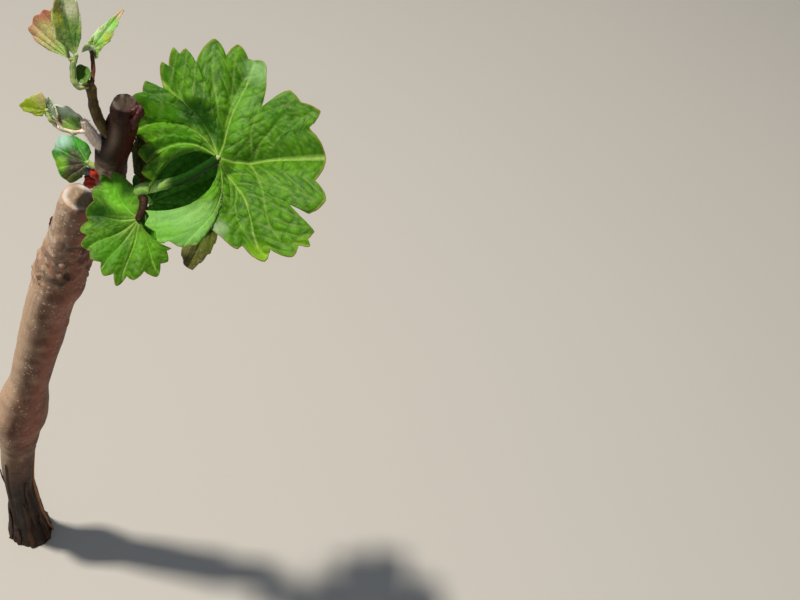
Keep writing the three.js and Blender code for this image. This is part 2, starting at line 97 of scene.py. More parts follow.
def hangLights():
    for name, (place, size, power, colour) in lights.items():
        data = bpy.data.lights.new(name, "AREA")
        data.size, data.energy, data.color = size, power, tone(colour)[:3]
        body = addObject(name, data)
        body.location = place
        body.rotation_euler = (lightTarget - body.location).to_track_quat("-Z", "Y").to_euler()
    world = bpy.data.worlds.new("studio")
    bpy.context.scene.world = world
    world.use_nodes = True
    sky = world.node_tree.nodes["Background"].inputs
    sky["Color"].default_value, sky["Strength"].default_value = tone(skyColour), skyStrength


def layFloor(material):
    sheet = bmesh.new()
    bmesh.ops.create_grid(sheet, x_segments=1, y_segments=1, size=1.5)
    mesh = bpy.data.meshes.new("floor")
    sheet.to_mesh(mesh)
    sheet.free()
    mesh.materials.append(material)
    addObject("floor", mesh)


# Materials

def addNode(tree, kind, inputs=None, **settings):
    node = tree.nodes.new(kind)
    for name, value in settings.items():
        setattr(node, name, value)
    for name, value in (inputs or {}).items():
        if isinstance(value, bpy.types.NodeSocket):
            tree.links.new(value, node.inputs[name])
        else:
            node.inputs[name].default_value = value
    return node


def newMaterial(name):
    # an empty material, its nodes and the coordinates that its patterns read
    material = bpy.data.materials.new(name)
    material.use_nodes = True
    tree = material.node_tree
    tree.nodes.clear()
    return material, tree, addNode(tree, "ShaderNodeTexCoord").outputs


def perMetre(size):
    # scale of a pattern on Object coordinates whose features are this many mm
    return 1 / (size * mm)


sheetSize = 100    # mm of blade across a leaf's whole UV map
netSize = 0.9      # mm; the real net of small veins is about half as wide, which is too fine to show
leafGlow = {"Subsurface Radius": (0.6, 1.0, 0.2), "Subsurface Scale": 0.6 * mm}    # green light goes deepest

leafLooks = {
    "grown": {
        "slot": "grown_leaf",
        "deep": "#285604", "fresh": "#52880c", "vein": "#8fb050", "margin": "#7d7c24", "under": "#6f8c40",
        "marginFrom": 0.975, "roughness": 0.5, "gloss": 0.2, "sheen": 0.0, "through": 0.25,
    },
    "shaded": {
        "slot": "shaded_leaf",
        "deep": "#2c6a0c", "fresh": "#4c9a1a", "vein": "#5c9430", "margin": "#44601e", "under": "#76803a",
        "marginFrom": 0.97, "roughness": 0.4, "gloss": 0.25, "sheen": 0.0, "through": 0.2,
    },
    "glossy": {
        "slot": "grown_leaf",
        "deep": "#1a4c06", "fresh": "#327412", "vein": "#68a844", "margin": "#8fb45c", "under": "#6d9a4c",
        "marginFrom": 0.95, "roughness": 0.5, "gloss": 0.3, "sheen": 0.0, "through": 0.35,
    },
    "olive": {
        "slot": "shaded_leaf",
        "deep": "#30320c", "fresh": "#585a1a", "vein": "#32320f", "margin": "#584a22", "under": "#74783a",
        "marginFrom": 0.93, "roughness": 0.5, "gloss": 0.25, "sheen": 0.1, "through": 0.4,
    },
    "bronze": {
        "slot": "young_leaf",
        "deep": "#8a8a4c", "fresh": "#b0ac74", "vein": "#9aa468", "margin": "#9c5c48", "under": "#a79a74",
        "marginFrom": 0.74, "roughness": 0.5, "gloss": 0.3, "sheen": 0.2, "through": 0.7,
    },
    "tipGreen": {
        "slot": "young_leaf",
        "deep": "#4f7424", "fresh": "#8fae4c", "vein": "#6f8c3c", "margin": "#a9b070", "under": "#93a268",
        "marginFrom": 0.9, "roughness": 0.5, "gloss": 0.3, "sheen": 0.2, "through": 0.4,
    },
    "lime": {
        "slot": "young_leaf",
        "deep": "#5a6c0c", "fresh": "#8a9a20", "vein": "#76861c", "margin": "#8c7038", "under": "#8a9458",
        "marginFrom": 0.92, "roughness": 0.5, "gloss": 0.25, "sheen": 0.1, "through": 0.7,
    },
    "downy": {
        "slot": "young_leaf",
        "deep": "#4c6c28", "fresh": "#7e9c50", "vein": "#a0ac7c", "margin": "#c8ccb4", "under": "#8a7a60",
        "marginFrom": 0.86, "roughness": 0.65, "gloss": 0.2, "sheen": 0.3, "through": 0.5,
    },
}


def leafMaterial(name, look):
    # living leaf, grown: waxy skin with a soft gloss, blistered between sunken paler veins
    material, tree, place = newMaterial(name)
    vein, puff, edge, tintAndPaintedLight = (
        addNode(tree, "ShaderNodeAttribute", attribute_name=layer).outputs
        for layer in ("vein", "puff", "edge", "tintAndPaintedLight"))
    cloud, fine = (
        addNode(tree, "ShaderNodeTexNoise", {
            "Vector": place["Object"], "Scale": perMetre(size), "Detail": detail, "Roughness": rough,
        }).outputs["Fac"]
        for size, detail, rough in ((5, 3, 0.6), (0.5, 4, 0.65)))
    net = addNode(tree, "ShaderNodeTexVoronoi", {
        "Vector": place["UV"], "Scale": sheetSize / netSize}, feature="DISTANCE_TO_EDGE")
    thread = addNode(tree, "ShaderNodeMapRange", {
        "Value": net.outputs["Distance"], "From Max": 0.16, "To Min": 1.0, "To Max": 0.0}).outputs["Result"]
    netShare = addNode(tree, "ShaderNodeMath", {0: thread, 1: 0.22}, operation="MULTIPLY").outputs[0]
    # painted light: the raised blister tops take the fresh tone as painted highlight and the grooves stay
    # deep as painted shade, over a random cloud of tone
    raised = addNode(tree, "ShaderNodeMath", {0: puff["Fac"], 1: cloud}, operation="ADD").outputs[0]
    fresh, grain = (
        addNode(tree, "ShaderNodeMapRange", {
            "Value": value, "From Min": low, "From Max": high, "To Max": most}).outputs["Result"]
        for value, low, high, most in ((raised, 0.45, 1.25, 1.0), (fine, 0.35, 0.7, 0.3)))
    rim = addNode(tree, "ShaderNodeMapRange", {
        "Value": edge["Fac"], "From Min": look["marginFrom"], "To Max": 0.85},
        interpolation_type="SMOOTHSTEP").outputs["Result"]
    colour = tone(look["deep"])
    for share, over in (
            (fresh, "fresh"), (grain, "fresh"), (netShare, "deep"), (vein["Fac"], "vein"), (rim, "margin")):
        colour = addNode(tree, "ShaderNodeMix", {
            0: share, 6: colour, 7: tone(look[over])}, data_type="RGBA").outputs[2]
    withTintAndPaintedLight = addNode(tree, "ShaderNodeMix", {
        0: tintAndPaintedLight["Alpha"], 6: colour, 7: tintAndPaintedLight["Color"]}, data_type="RGBA")
    height = addNode(tree, "ShaderNodeMath", {0: fine, 1: 0.5, 2: thread}, operation="MULTIPLY_ADD")
    bump = addNode(tree, "ShaderNodeBump", {
        "Strength": 0.35, "Distance": 0.06 * mm, "Height": height.outputs[0]}, invert=True)
    gloss = addNode(tree, "ShaderNodeMapRange", {
        "Value": fine, "From Min": 0.3, "From Max": 0.7,
        "To Min": look["roughness"] - 0.06, "To Max": look["roughness"] + 0.12})
    skin = addNode(tree, "ShaderNodeBsdfPrincipled", {
        "Base Color": withTintAndPaintedLight.outputs[2], "Roughness": gloss.outputs["Result"], "Normal": bump.outputs[0],
        "IOR": 1.42, "Specular IOR Level": look["gloss"], "Sheen Weight": look["sheen"],
        "Subsurface Weight": look["through"], **leafGlow})
    addNode(tree, "ShaderNodeOutputMaterial", {"Surface": skin.outputs[0]})
    return material


def undersideMaterial(name, look):
    # living leaf, underside: matt and paler, with raised veins
    material, tree, place = newMaterial(name)
    vein = addNode(tree, "ShaderNodeAttribute", attribute_name="vein")
    cloud = addNode(tree, "ShaderNodeTexNoise", {
        "Vector": place["Object"], "Scale": perMetre(2.5), "Detail": 5, "Roughness": 0.6}).outputs["Fac"]
    colour = tone(look["deep"])
    for share, over in ((cloud, "under"), (vein.outputs["Fac"], "vein")):
        colour = addNode(tree, "ShaderNodeMix", {
            0: share, 6: colour, 7: tone(look[over])}, data_type="RGBA").outputs[2]
    bump = addNode(tree, "ShaderNodeBump", {"Strength": 0.4, "Distance": 0.05 * mm, "Height": cloud})
    skin = addNode(tree, "ShaderNodeBsdfPrincipled", {
        "Base Color": colour, "Roughness": 0.62, "Normal": bump.outputs[0], "IOR": 1.4, "Sheen Weight": 0.2,
        "Subsurface Weight": look["through"], **leafGlow})
    addNode(tree, "ShaderNodeOutputMaterial", {"Surface": skin.outputs[0]})
    return material


# fleckSize, streak and length are in mm: the spacing of pale flecks, and a fibre's width and length
# lit is the tone painted on the side of the cane and spur towards the lamp, partly bleached bark and partly
# painted light; on the loose bark it marks one strip
barkLooks = {
    "cane": {
        "dark": "#43261a", "mid": "#6a4630", "light": "#86624a", "lit": "#dcbc9c", "red": "#6c2c20",
        "rosy": "#b06450", "fleck": "#f0e6d4", "fleckSize": 1.0, "streak": 0.8, "length": 7,
        "roughness": 0.6, "heart": ("#7c6450", "#aa967c"),
    },
    "spurWood": {
        "dark": "#0e0603", "mid": "#22100a", "light": "#3e2416", "lit": "#dcbca0", "red": "#4a140c",
        "rosy": "#5c1a12", "fleck": "#c8b49a", "fleckSize": 1.7, "streak": 0.7, "length": 4,
        "roughness": 0.65, "heart": ("#30261c", "#504436"),
    },
    "looseBark": {
        "dark": "#1e100a", "mid": "#3a2010", "light": "#5c3818", "lit": "#a0642c", "red": "#3c1c10",
        "rosy": "#a85c24", "fleck": "#8a6a44", "fleckSize": 2.5, "streak": 0.5, "length": 6,
        "roughness": 0.65, "heart": ("#54402e", "#7c6650"),
    },
}
# the dark foot colour makes the bark darker towards the foot and paints shade into the pits of the callus and
# head
callusColour, footDarkAndPitShade, filmColour = "#9c7e68", "#22140c", "#d0cac4"


def barkMaterial(name, look):
    # vine bark: thin dry skin with fibres along the cane, pale flecks, and painted light on the side towards
    # the lamp, partly bleached bark
    material, tree, place = newMaterial(name)
    along = addNode(tree, "ShaderNodeMapping", {
        "Vector": place["Object"], "Scale": (1, 1, look["streak"] / look["length"])})
    fibre, cloud, grit = (
        addNode(tree, "ShaderNodeTexNoise", {
            "Vector": where, "Scale": perMetre(size), "Detail": detail, "Roughness": rough}).outputs["Fac"]
        for where, size, detail, rough in (
            (along.outputs[0], look["streak"], 5, 0.62), (place["Object"], 6, 4, 0.6),
            (place["Object"], 0.35, 3, 0.6)))
    fleck = addNode(tree, "ShaderNodeTexVoronoi", {
        "Vector": place["Object"], "Scale": perMetre(look["fleckSize"])})
    dot = addNode(tree, "ShaderNodeMapRange", {
        "Value": fleck.outputs["Distance"], "From Min": 0.14, "From Max": 0.3, "To Min": 1.0, "To Max": 0.0})
    sun, callus, foot, wax, cut, rosy, speck = (
        addNode(tree, "ShaderNodeAttribute", attribute_name=layer).outputs["Fac"]
        for layer in ("sun", "callus", "foot", "wax", "cut", "rosy", "speck"))
    patch, fibreShare, cloudShare, gritShare = (
        addNode(tree, "ShaderNodeMapRange", {
            "Value": value, "From Min": low, "From Max": high, "To Max": most}).outputs["Result"]
        for value, low, high, most in (
            (cloud, 0.42, 0.6, 1.0), (fibre, 0.3, 0.72, 1.0), (cloud, 0.4, 0.7, 0.7), (grit, 0.5, 0.75, 0.5)))
    thick = addNode(tree, "ShaderNodeMath", {0: patch, 1: speck}, operation="MULTIPLY").outputs[0]
    flecks = addNode(tree, "ShaderNodeMath", {
        0: dot.outputs["Result"], 1: thick}, operation="MULTIPLY").outputs[0]
    # painted light: the lit tone on the side towards the lamp, partly bleached bark
    sunShare = addNode(tree, "ShaderNodeMath", {0: sun, 1: 0.85}, operation="MULTIPLY").outputs[0]
    colour = tone(look["dark"])
    for share, over in (
            (fibreShare, look["mid"]), (cloudShare, look["light"]), (sunShare, look["lit"]),
            (rosy, look["rosy"]), (gritShare, look["red"]), (callus, callusColour), (foot, footDarkAndPitShade),
            (flecks, look["fleck"]), (wax, filmColour)):
        colour = addNode(tree, "ShaderNodeMix", {
            0: share, 6: colour, 7: tone(over)}, data_type="RGBA").outputs[2]
    heart = addNode(tree, "ShaderNodeMix", {
        0: cloud, 6: tone(look["heart"][0]), 7: tone(look["heart"][1])}, data_type="RGBA")
    shown = addNode(tree, "ShaderNodeMix", {0: cut, 6: colour, 7: heart.outputs[2]}, data_type="RGBA")
    rough = addNode(tree, "ShaderNodeMapRange", {
        "Value": grit, "From Min": 0.3, "From Max": 0.7,
        "To Min": look["roughness"] - 0.1, "To Max": look["roughness"] + 0.15})
    height = fibre
    for part, share in ((flecks, 1.4), (grit, 0.5)):
        height = addNode(tree, "ShaderNodeMath", {
            0: part, 1: share, 2: height}, operation="MULTIPLY_ADD").outputs[0]
    bump = addNode(tree, "ShaderNodeBump", {"Strength": 0.55, "Distance": 0.12 * mm, "Height": height})
    skin = addNode(tree, "ShaderNodeBsdfPrincipled", {
        "Base Color": shown.outputs[2], "Roughness": rough.outputs["Result"], "Normal": bump.outputs[0],
        "IOR": 1.45, "Specular IOR Level": 0.25})
    addNode(tree, "ShaderNodeOutputMaterial", {"Surface": skin.outputs[0]})
    return material


stemLooks = {
    # dark and light tone, roughness, sheen
    "brownGreen": ("#44260f", "#6a5a26", 0.42, 0.1),
    "paleGreen": ("#7f9a4c", "#b4c07c", 0.45, 0.2),
    "brown": ("#4c2a1a", "#7a4a2c", 0.45, 0.1),
    "darkBrown": ("#24140c", "#46301e", 0.55, 0.0),
    # painted light: a pale stalk green made brighter still, standing for sunlight on the leaf stalks
    "paleGreenPaintedSunlit": ("#8ccc44", "#d2f498", 0.45, 0.0),
    "downyPale": ("#d2b29a", "#fbeadb", 0.75, 0.4),
    "knobGreen": ("#8fa86c", "#c4d0a8", 0.5, 0.2),
    "nodePink": ("#b59a86", "#ddd0bd", 0.55, 0.3),
}
paintedShadeGreen = "#173f07"    # painted shade: the deep green that a stalk turns to towards its far end, where the blade above shades it


def stemMaterial(name, look):
    # young vine stem: smooth green skin with fine ribs along it
    material, tree, place = newMaterial(name)
    dark, light, roughness, sheen = look
    along = addNode(tree, "ShaderNodeMapping", {"Vector": place["Object"], "Scale": (1, 1, 0.2)})
    rib, cloud = (
        addNode(tree, "ShaderNodeTexNoise", {
            "Vector": where, "Scale": perMetre(size), "Detail": detail, "Roughness": 0.6}).outputs["Fac"]
        for where, size, detail in ((along.outputs[0], 0.35, 4), (place["Object"], 2, 3)))
    both = addNode(tree, "ShaderNodeMath", {0: rib, 1: cloud}, operation="ADD")
    share = addNode(tree, "ShaderNodeMapRange", {
        "Value": both.outputs[0], "From Min": 0.75, "From Max": 1.25}).outputs["Result"]
    far = addNode(tree, "ShaderNodeAttribute", attribute_name="far").outputs["Fac"]
    colour = tone(dark)
    for part, over in ((share, light), (far, paintedShadeGreen)):
        colour = addNode(tree, "ShaderNodeMix", {
            0: part, 6: colour, 7: tone(over)}, data_type="RGBA").outputs[2]
    bump = addNode(tree, "ShaderNodeBump", {"Strength": 0.4, "Distance": 0.05 * mm, "Height": rib})
    skin = addNode(tree, "ShaderNodeBsdfPrincipled", {
        "Base Color": colour, "Roughness": roughness, "Normal": bump.outputs[0],
        "IOR": 1.42, "Specular IOR Level": 0.2, "Sheen Weight": sheen,
        "Subsurface Weight": 0.15, "Subsurface Radius": (0.6, 1.0, 0.3), "Subsurface Scale": 0.5 * mm})
    addNode(tree, "ShaderNodeOutputMaterial", {"Surface": skin.outputs[0]})
    return material


def waxMaterial(name, bright, dull):
    # grafting wax: dipped, cracked and dusty, with a soft sheen
    material, tree, place = newMaterial(name)
    cloud = addNode(tree, "ShaderNodeTexNoise", {
        "Vector": place["Object"], "Scale": perMetre(1.2), "Detail": 5, "Roughness": 0.65}).outputs["Fac"]
    share = addNode(tree, "ShaderNodeMapRange", {"Value": cloud, "From Min": 0.35, "From Max": 0.65})
    shown = addNode(tree, "ShaderNodeMix", {
        0: share.outputs["Result"], 6: tone(dull), 7: tone(bright)}, data_type="RGBA")
    bump = addNode(tree, "ShaderNodeBump", {"Strength": 0.5, "Distance": 0.1 * mm, "Height": cloud})
    skin = addNode(tree, "ShaderNodeBsdfPrincipled", {
        "Base Color": shown.outputs[2], "Roughness": 0.55, "Normal": bump.outputs[0], "IOR": 1.44,
        "Subsurface Weight": 0.15, "Subsurface Radius": (1.0, 0.2, 0.1), "Subsurface Scale": 0.5 * mm})
    addNode(tree, "ShaderNodeOutputMaterial", {"Surface": skin.outputs[0]})
    return material


def plainMaterial(name, look, roughness, size):
    # matt crumbs, down and the floor: two near tones in a soft cloud
    material, tree, place = newMaterial(name)
    cloud = addNode(tree, "ShaderNodeTexNoise", {
        "Vector": place["Object"], "Scale": perMetre(size), "Detail": 4, "Roughness": 0.6})
    shown = addNode(tree, "ShaderNodeMix", {
        0: cloud.outputs["Fac"], 6: tone(look[0]), 7: tone(look[1])}, data_type="RGBA")
    skin = addNode(tree, "ShaderNodeBsdfPrincipled", {"Base Color": shown.outputs[2], "Roughness": roughness})
    addNode(tree, "ShaderNodeOutputMaterial", {"Surface": skin.outputs[0]})
    return material


# Shared shaping

def clamp(value, low=0.0, high=1.0):
    return max(low, min(high, value))


def smooth(value, low, high):
    part = clamp((value - low) / (high - low))
    return part * part * (3 - 2 * part)


def hill(value, middle, spread):
    return exp(-((value - middle) / spread) ** 2)


def wayAt(heading):
    turn = radians(heading)
    return Vector((cos(turn), sin(turn), 0))


def turnFrom(heading, toward):
    return (heading - toward + 180) % 360 - 180


def grain(p, across, along):
    # noise that is stretched along the plant
    return noise.noise(Vector((p.x / across, p.y / across, p.z / along)))


def fibre(p, heading, count, length):
    # noise in stripes: its number of stripes grows with count, and each is this many mm long
    ring = wayAt(heading)
    return noise.noise(Vector((ring.x * count, ring.y * count, p.z / length)))


def finishPiece(name, bm, materials, nodes=()):
    # a bmesh in mm becomes a piece in metres that rides on the plant
    bmesh.ops.scale(bm, vec=(mm, mm, mm), verts=bm.verts)
    mesh = bpy.data.meshes.new(name)
    bm.to_mesh(mesh)
    bm.free()
    mesh.shade_smooth()
    piece = addObject(name, mesh)
    for material in materials:
        mesh.materials.append(material)
    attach(piece, "root")
    if nodes:
        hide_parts(*nodes)
    return piece


# Limbs: trunk, spur, shoots and leaf stalks. A row is a middle and a diameter in mm.

def knotPoint(rows, t):
    # centripetal curve through the rows' middles, and the diameter eased between them
    place = t * (len(rows) - 1)
    i = min(int(place), len(rows) - 2)
    u = place - i
    points = [Vector(row[:3]) for row in rows]
    p1, p2 = points[i], points[i + 1]
    p0 = points[i - 1] if i > 0 else p1 * 2 - p2
    p3 = points[i + 2] if i + 2 < len(rows) else p2 * 2 - p1
    d0, d1, d2 = (max((b - a).length ** 0.5, 1e-4) for a, b in ((p0, p1), (p1, p2), (p2, p3)))
    slopeIn = ((p1 - p0) / d0 - (p2 - p0) / (d0 + d1) + (p2 - p1) / d1) * d1
    slopeOut = ((p2 - p1) / d1 - (p3 - p1) / (d1 + d2) + (p3 - p2) / d2) * d1
    middle = (p1 + slopeIn * u + (p1 * -3 + p2 * 3 - slopeIn * 2 - slopeOut) * u * u
              + (p1 * 2 - p2 * 2 + slopeIn + slopeOut) * u * u * u)
    ease = u * u * (3 - 2 * u)
    return middle, rows[i][3] * (1 - ease) + rows[i + 1][3] * ease


def limbFrames(rows, steps):
    # evenly spaced middles, two directions across the limb and radii
    ts = np.linspace(0, 1, 401)
    fine = [knotPoint(rows, t)[0] for t in ts]
    lengths = np.cumsum([0] + [(b - a).length for a, b in zip(fine, fine[1:])])
    spaced = np.interp(np.linspace(0, lengths[-1], steps + 1), lengths, ts)
    middles, radii = zip(*[(m, d / 2) for m, d in (knotPoint(rows, t) for t in spaced)])
    frames = []
    side = Vector((1, 0, 0))
    for i, middle in enumerate(middles):
        ahead = middles[min(i + 1, steps)] - middles[max(i - 1, 0)]
        tangent = ahead.normalized()
        side = (side - tangent * side.dot(tangent)).normalized()
        frames.append((middle, side, tangent.cross(side), radii[i]))
    return frames


def limbMesh(rows, around, along, skin, paint=None, capRings=5):
    # a grid rolled round the limb's axis, closed by a cap of rings at each end
    frames = limbFrames(rows, along)
    bm = bmesh.new()
    bmesh.ops.create_grid(bm, x_segments=around, y_segments=along + 2 * capRings, size=0.5)
    layers = {name: bm.verts.layers.float.new(name) for name in (paint or {})}
    for vert in bm.verts:
        column = round((vert.co.x + 0.5) * around) % around
        row = round((vert.co.y + 0.5) * (along + 2 * capRings)) - capRings
        inward = clamp(max(-row, row - along) / capRings)
        middle, side, other, radius = frames[int(clamp(row, 0, along))]
        angle = 2 * pi * column / around
        out = side * cos(angle) + other * sin(angle)
        heading = degrees(atan2(out.y, out.x))
        lift = skin(middle + out * radius, heading)
        vert.co = middle + out * (radius + lift) * (1 - inward)
        for name, layer in layers.items():
            vert[layer] = paint[name](vert.co.copy(), heading, inward)
    bmesh.ops.remove_doubles(bm, verts=bm.verts, dist=1e-4)
    bmesh.ops.recalc_face_normals(bm, faces=bm.faces)
    return bm


def onLimb(rows, t, heading, out):
    # a point on a limb's side at a share of its length, and the way out from there
    middle, diameter = knotPoint(rows, t)
    tangent = (knotPoint(rows, min(t + 0.02, 1))[0] - knotPoint(rows, max(t - 0.02, 0))[0]).normalized()
    way = wayAt(heading)
    way = (way - tangent * way.dot(tangent)).normalized()
    return middle + way * (diameter / 2 + out), way


trunk = {
    "rows": [
        (-0.5, 0.5, -6, 15.5), (0, 0, 0, 13.6), (0.4, -0.4, 6, 11.6), (1.2, -1.1, 17.4, 10),
        (2.3, -2.2, 35.6, 9), (5.2, -3.2, 55.7, 9.5), (7.4, -3.7, 66.9, 11.6), (9.2, -4.1, 76.9, 13.6),
        (12, -4.3, 86.5, 12.2), (15.5, -4.6, 97.7, 10), (18.8, -4.9, 109.3, 10.5),
        (21.8, -5.1, 119.6, 10.9), (24.7, -5.4, 129.8, 10.8), (27.7, -5.6, 139.4, 11),
        (30.8, -5.7, 148.4, 11.4), (32.2, -5.9, 153.3, 11), (33.8, -6.1, 158.7, 9.5),
        (35.5, -6.5, 165.5, 8.5), (37.1, -6.9, 171, 7.7), (37.5, -7, 172.2, 7.2),
    ],
    "around": 120, "along": 560, "capRings": 8,
    "swellings": [  # height, direction, how far out, spread along and across
        (2, -35, 1.9, 7, 38), (4, 150, 1.2, 6, 40), (77, 190, 1.5, 6, 55), (80, 10, 0.9, 7, 50),
        (141, -20, 1.1, 4, 42), (147, 170, 0.8, 4, 45), (151, 30, 0.9, 3.5, 45),
        (158, 250, 0.7, 3, 40), (165, 0, 1.1, 5, 45),
    ],
    "hollow": (29, -158, 1.5, 7, 26),    # the rotten place, in the same order
    "lumps": 0.16, "fibres": 0.09, "furrows": 0.34, "folds": 0.2, "ring": 0.3,    # relief in mm
    "warts": 0.9, "headWarts": 0.16, "wartSize": 2.3,
    "callus": (141, 158), "head": 153, "foot": 54, "node": 76,
    "foldsAt": 69, "ringAt": 70,  # wrinkles under the node
    "cut": 165,                   # above this a cap is the cut face
    "sunSide": 196,               # the side towards the lamp, painted lighter: partly bleached, partly painted light
    "pitSide": 300,               # the side, away from the lamp, where the pits get painted shade
}


def swelling(height, heading):
    total = 0
    for middle, toward, out, spread, across in trunk["swellings"]:
        total += out * hill(height, middle, spread) * hill(turnFrom(heading, toward), 0, across)
    return total


def hollowAt(height, heading):
    middle, toward, depth, spread, across = trunk["hollow"]
    return depth * hill(turnFrom(heading, toward), 0, across) * hill(height, middle, spread)


def callusShare(height):
    low, high = trunk["callus"]
    return smooth(height, low, low + 6) * (1 - smooth(height, high - 4, high + 2))


def headShare(height):
    return smooth(height, trunk["head"], trunk["head"] + 5)


def wart(p, size):
    # round knobs, each of its own height
    distances, middles = noise.voronoi(p / size)
    return (1 - smooth(distances[0], 0.1, 0.62)) * (0.45 + 0.55 * noise.cell(middles[0] * 5.1))


def trunkSkin(p, heading):
    foot = 1 - smooth(p.z, trunk["foot"] * 0.55, trunk["foot"])
    head, callus = headShare(p.z), callusShare(p.z)
    lift = swelling(p.z, heading)
    lift += trunk["lumps"] * grain(p, 7, 14)
    lift += trunk["fibres"] * fibre(p, heading, 9, 9)
    lift += trunk["fibres"] * 0.6 * fibre(p, heading, 22, 4)
    lift += foot * trunk["furrows"] * fibre(p, heading, 5, 22)
    lift += foot * trunk["furrows"] * 0.6 * fibre(p, heading, 12, 12)
    lift += hill(p.z, trunk["foldsAt"], 4) * trunk["folds"] * grain(p, 3, 1.1)
    ringAt = trunk["ringAt"] + 1.5 * wayAt(heading).x
    lift -= trunk["ring"] * hill(p.z, ringAt, 0.7) * (0.6 + 0.4 * noise.noise(p / 2))
    knobbly = callus * trunk["warts"] + head * trunk["headWarts"]
    lift += knobbly * (wart(p, trunk["wartSize"]) + 0.5 * wart(p, trunk["wartSize"] / 2) - 0.4)
    lift += (callus * 0.5 + head * 0.3) * grain(p, 3.2, 3.8)
    return lift - hollowAt(p.z, heading)


# Each paint gives a share between 0 and 1 from the place in mm, the direction out of the limb in degrees
# and how far in from the rim of an end the place lies.

def sunPaint(p, heading, inward):
    # painted light: the side towards the lamp takes the lit tone, fading towards the shaded side; partly
    # bleached bark
    away = abs(turnFrom(heading, trunk["sunSide"]))
    shown = clamp(1 - smooth(away, 40, 82) + 0.3 * noise.noise(p / 3))
    return shown * (1 - 0.8 * footDarkAndPitShadePaint(p, heading, inward))


def callusPaint(p, heading, inward):
    # painted light: the callus tone shows fully on the side towards the lamp and only faintly on the shaded
    # side
    sunShare = 0.25 + 0.75 * (1 - smooth(abs(turnFrom(heading, trunk["sunSide"])), 70, 100))
    share = callusShare(p.z) * 0.9 + headShare(p.z) * 0.55
    return clamp(share * (0.75 + 0.6 * noise.noise(p / 1.7)) * sunShare)


def footDarkAndPitShadePaint(p, heading, inward):
    # dark: darker towards the foot, and painted shade in the pits of the callus and head on the side away
    # from the sun
    share = 1 - smooth(p.z, trunk["foot"] * 0.5, trunk["foot"] * 1.2)
    rough = max(callusShare(p.z), 0.8 * hill(p.z, 161, 5))
    pits = rough * smooth(noise.noise(p / 2.4), 0, 0.35) * hill(turnFrom(heading, trunk["pitSide"]), 0, 45)
    return clamp(share * (1 + 0.4 * noise.noise(p / 3)) + 0.8 * pits)


def rosyPaint(p, heading, inward):
    # pinkish red: the side away from the sun, the node's bleached side, and stains on the callus
    edge = 0.55 * hill(turnFrom(heading, -38), 0, 26) * smooth(p.z, 60, 75)
    node = 0.75 * hill(p.z, trunk["node"], 9) * hill(turnFrom(heading, 195), 0, 45)
    stain = 0.8 * smooth(noise.noise(p / 2.1), 0.15, 0.4) * callusShare(p.z)
    return clamp(max(edge, node, stain) * (0.8 + 0.5 * noise.noise(p / 1.5)))


def speckPaint(p, heading, inward):
    # pale flecks above the foot, painted denser as glints of light where the lit side ends
    edge = hill(turnFrom(heading, trunk["sunSide"] + 42), 0, 32) * smooth(p.z, 55, 72)
    return clamp(0.25 * smooth(p.z, 35, 60) + 1.4 * edge * (1 - 0.8 * callusShare(p.z)))


def waxPaint(p, heading, inward):
    # whitish film that the dipping wax left round the head and on the rim of the cut
    film = smooth(p.z, trunk["head"] - 4, trunk["head"] + 3) * smooth(noise.noise(p / 1.8) + 0.1, 0.25, 0.6)
    film *= 1 - smooth(abs(turnFrom(heading, 215)), 45, 80)
    rim = 0
    if p.z > trunk["cut"] and inward > 0:
        sides = max(share * hill(turnFrom(heading, toward), 0, across)
                    for share, toward, across in ((1, 200, 45), (1, 75, 50), (0.8, 290, 35)))
        rim = hill(inward, 0.15, 0.24) * sides * (1 + 0.5 * noise.noise(p / 1.2))
    return clamp(film * 0.4 + rim)


def cutPaint(p, heading, inward):
    return smooth(inward, 0.25, 0.5)


def buildTrunk(material):
    paint = {"sun": sunPaint, "callus": callusPaint, "foot": footDarkAndPitShadePaint, "wax": waxPaint, "cut": cutPaint,
             "rosy": rosyPaint, "speck": speckPaint}
    bm = limbMesh(trunk["rows"], trunk["around"], trunk["along"], trunkSkin, paint, trunk["capRings"])
    for vert in bm.verts:    # the cut head dishes a little and its wood shows rough
        share = vert[bm.verts.layers.float["cut"]]
        if vert.co.z > trunk["cut"] and share > 0:
            vert.co.z += share * (-0.35 + 0.25 * noise.noise(vert.co / 0.9))
    everything = list(bm.verts) + list(bm.edges) + list(bm.faces)
    sliced = bmesh.ops.bisect_plane(bm, geom=everything, plane_co=(0, 0, 0), plane_no=up, clear_inner=True)
    rim = [e for e in sliced["geom_cut"] if isinstance(e, bmesh.types.BMEdge)]
    bmesh.ops.contextual_create(bm, geom=rim)
    bmesh.ops.recalc_face_normals(bm, faces=bm.faces)
    finishPiece("trunkBark", bm, [material], ["trunk"])
    print("trunk done")


spur = {
    "rows": [
        (36.6, -4.4, 156, 4.6), (39.2, -3.4, 162, 5.2), (42.2, -4.2, 169.8, 6), (44.6, -7.3, 179.6, 6.6),
        (47.2, -9.8, 190, 6.3), (49.6, -11, 197, 6), (50.9, -12, 202, 5.2), (51.5, -12.6, 204.8, 4.4),
    ],
    "around": 84, "along": 190, "capRings": 7,
    "collar": (179, 4.4, 0.35),   # height, spread and depth of the wrinkles at its first bud
    "bud": (192, 2.5, 0.5),       # the same for the swelling where the shoots start, and
    "budSide": 200,               # the side that it stands on
    "neck": (201.5, 0.7, 0.25),   # the same for the groove under the cut end
    "cut": 200,                   # above this a cap is the cut face
    "litFoot": (184, 191), "litSide": 228,
}


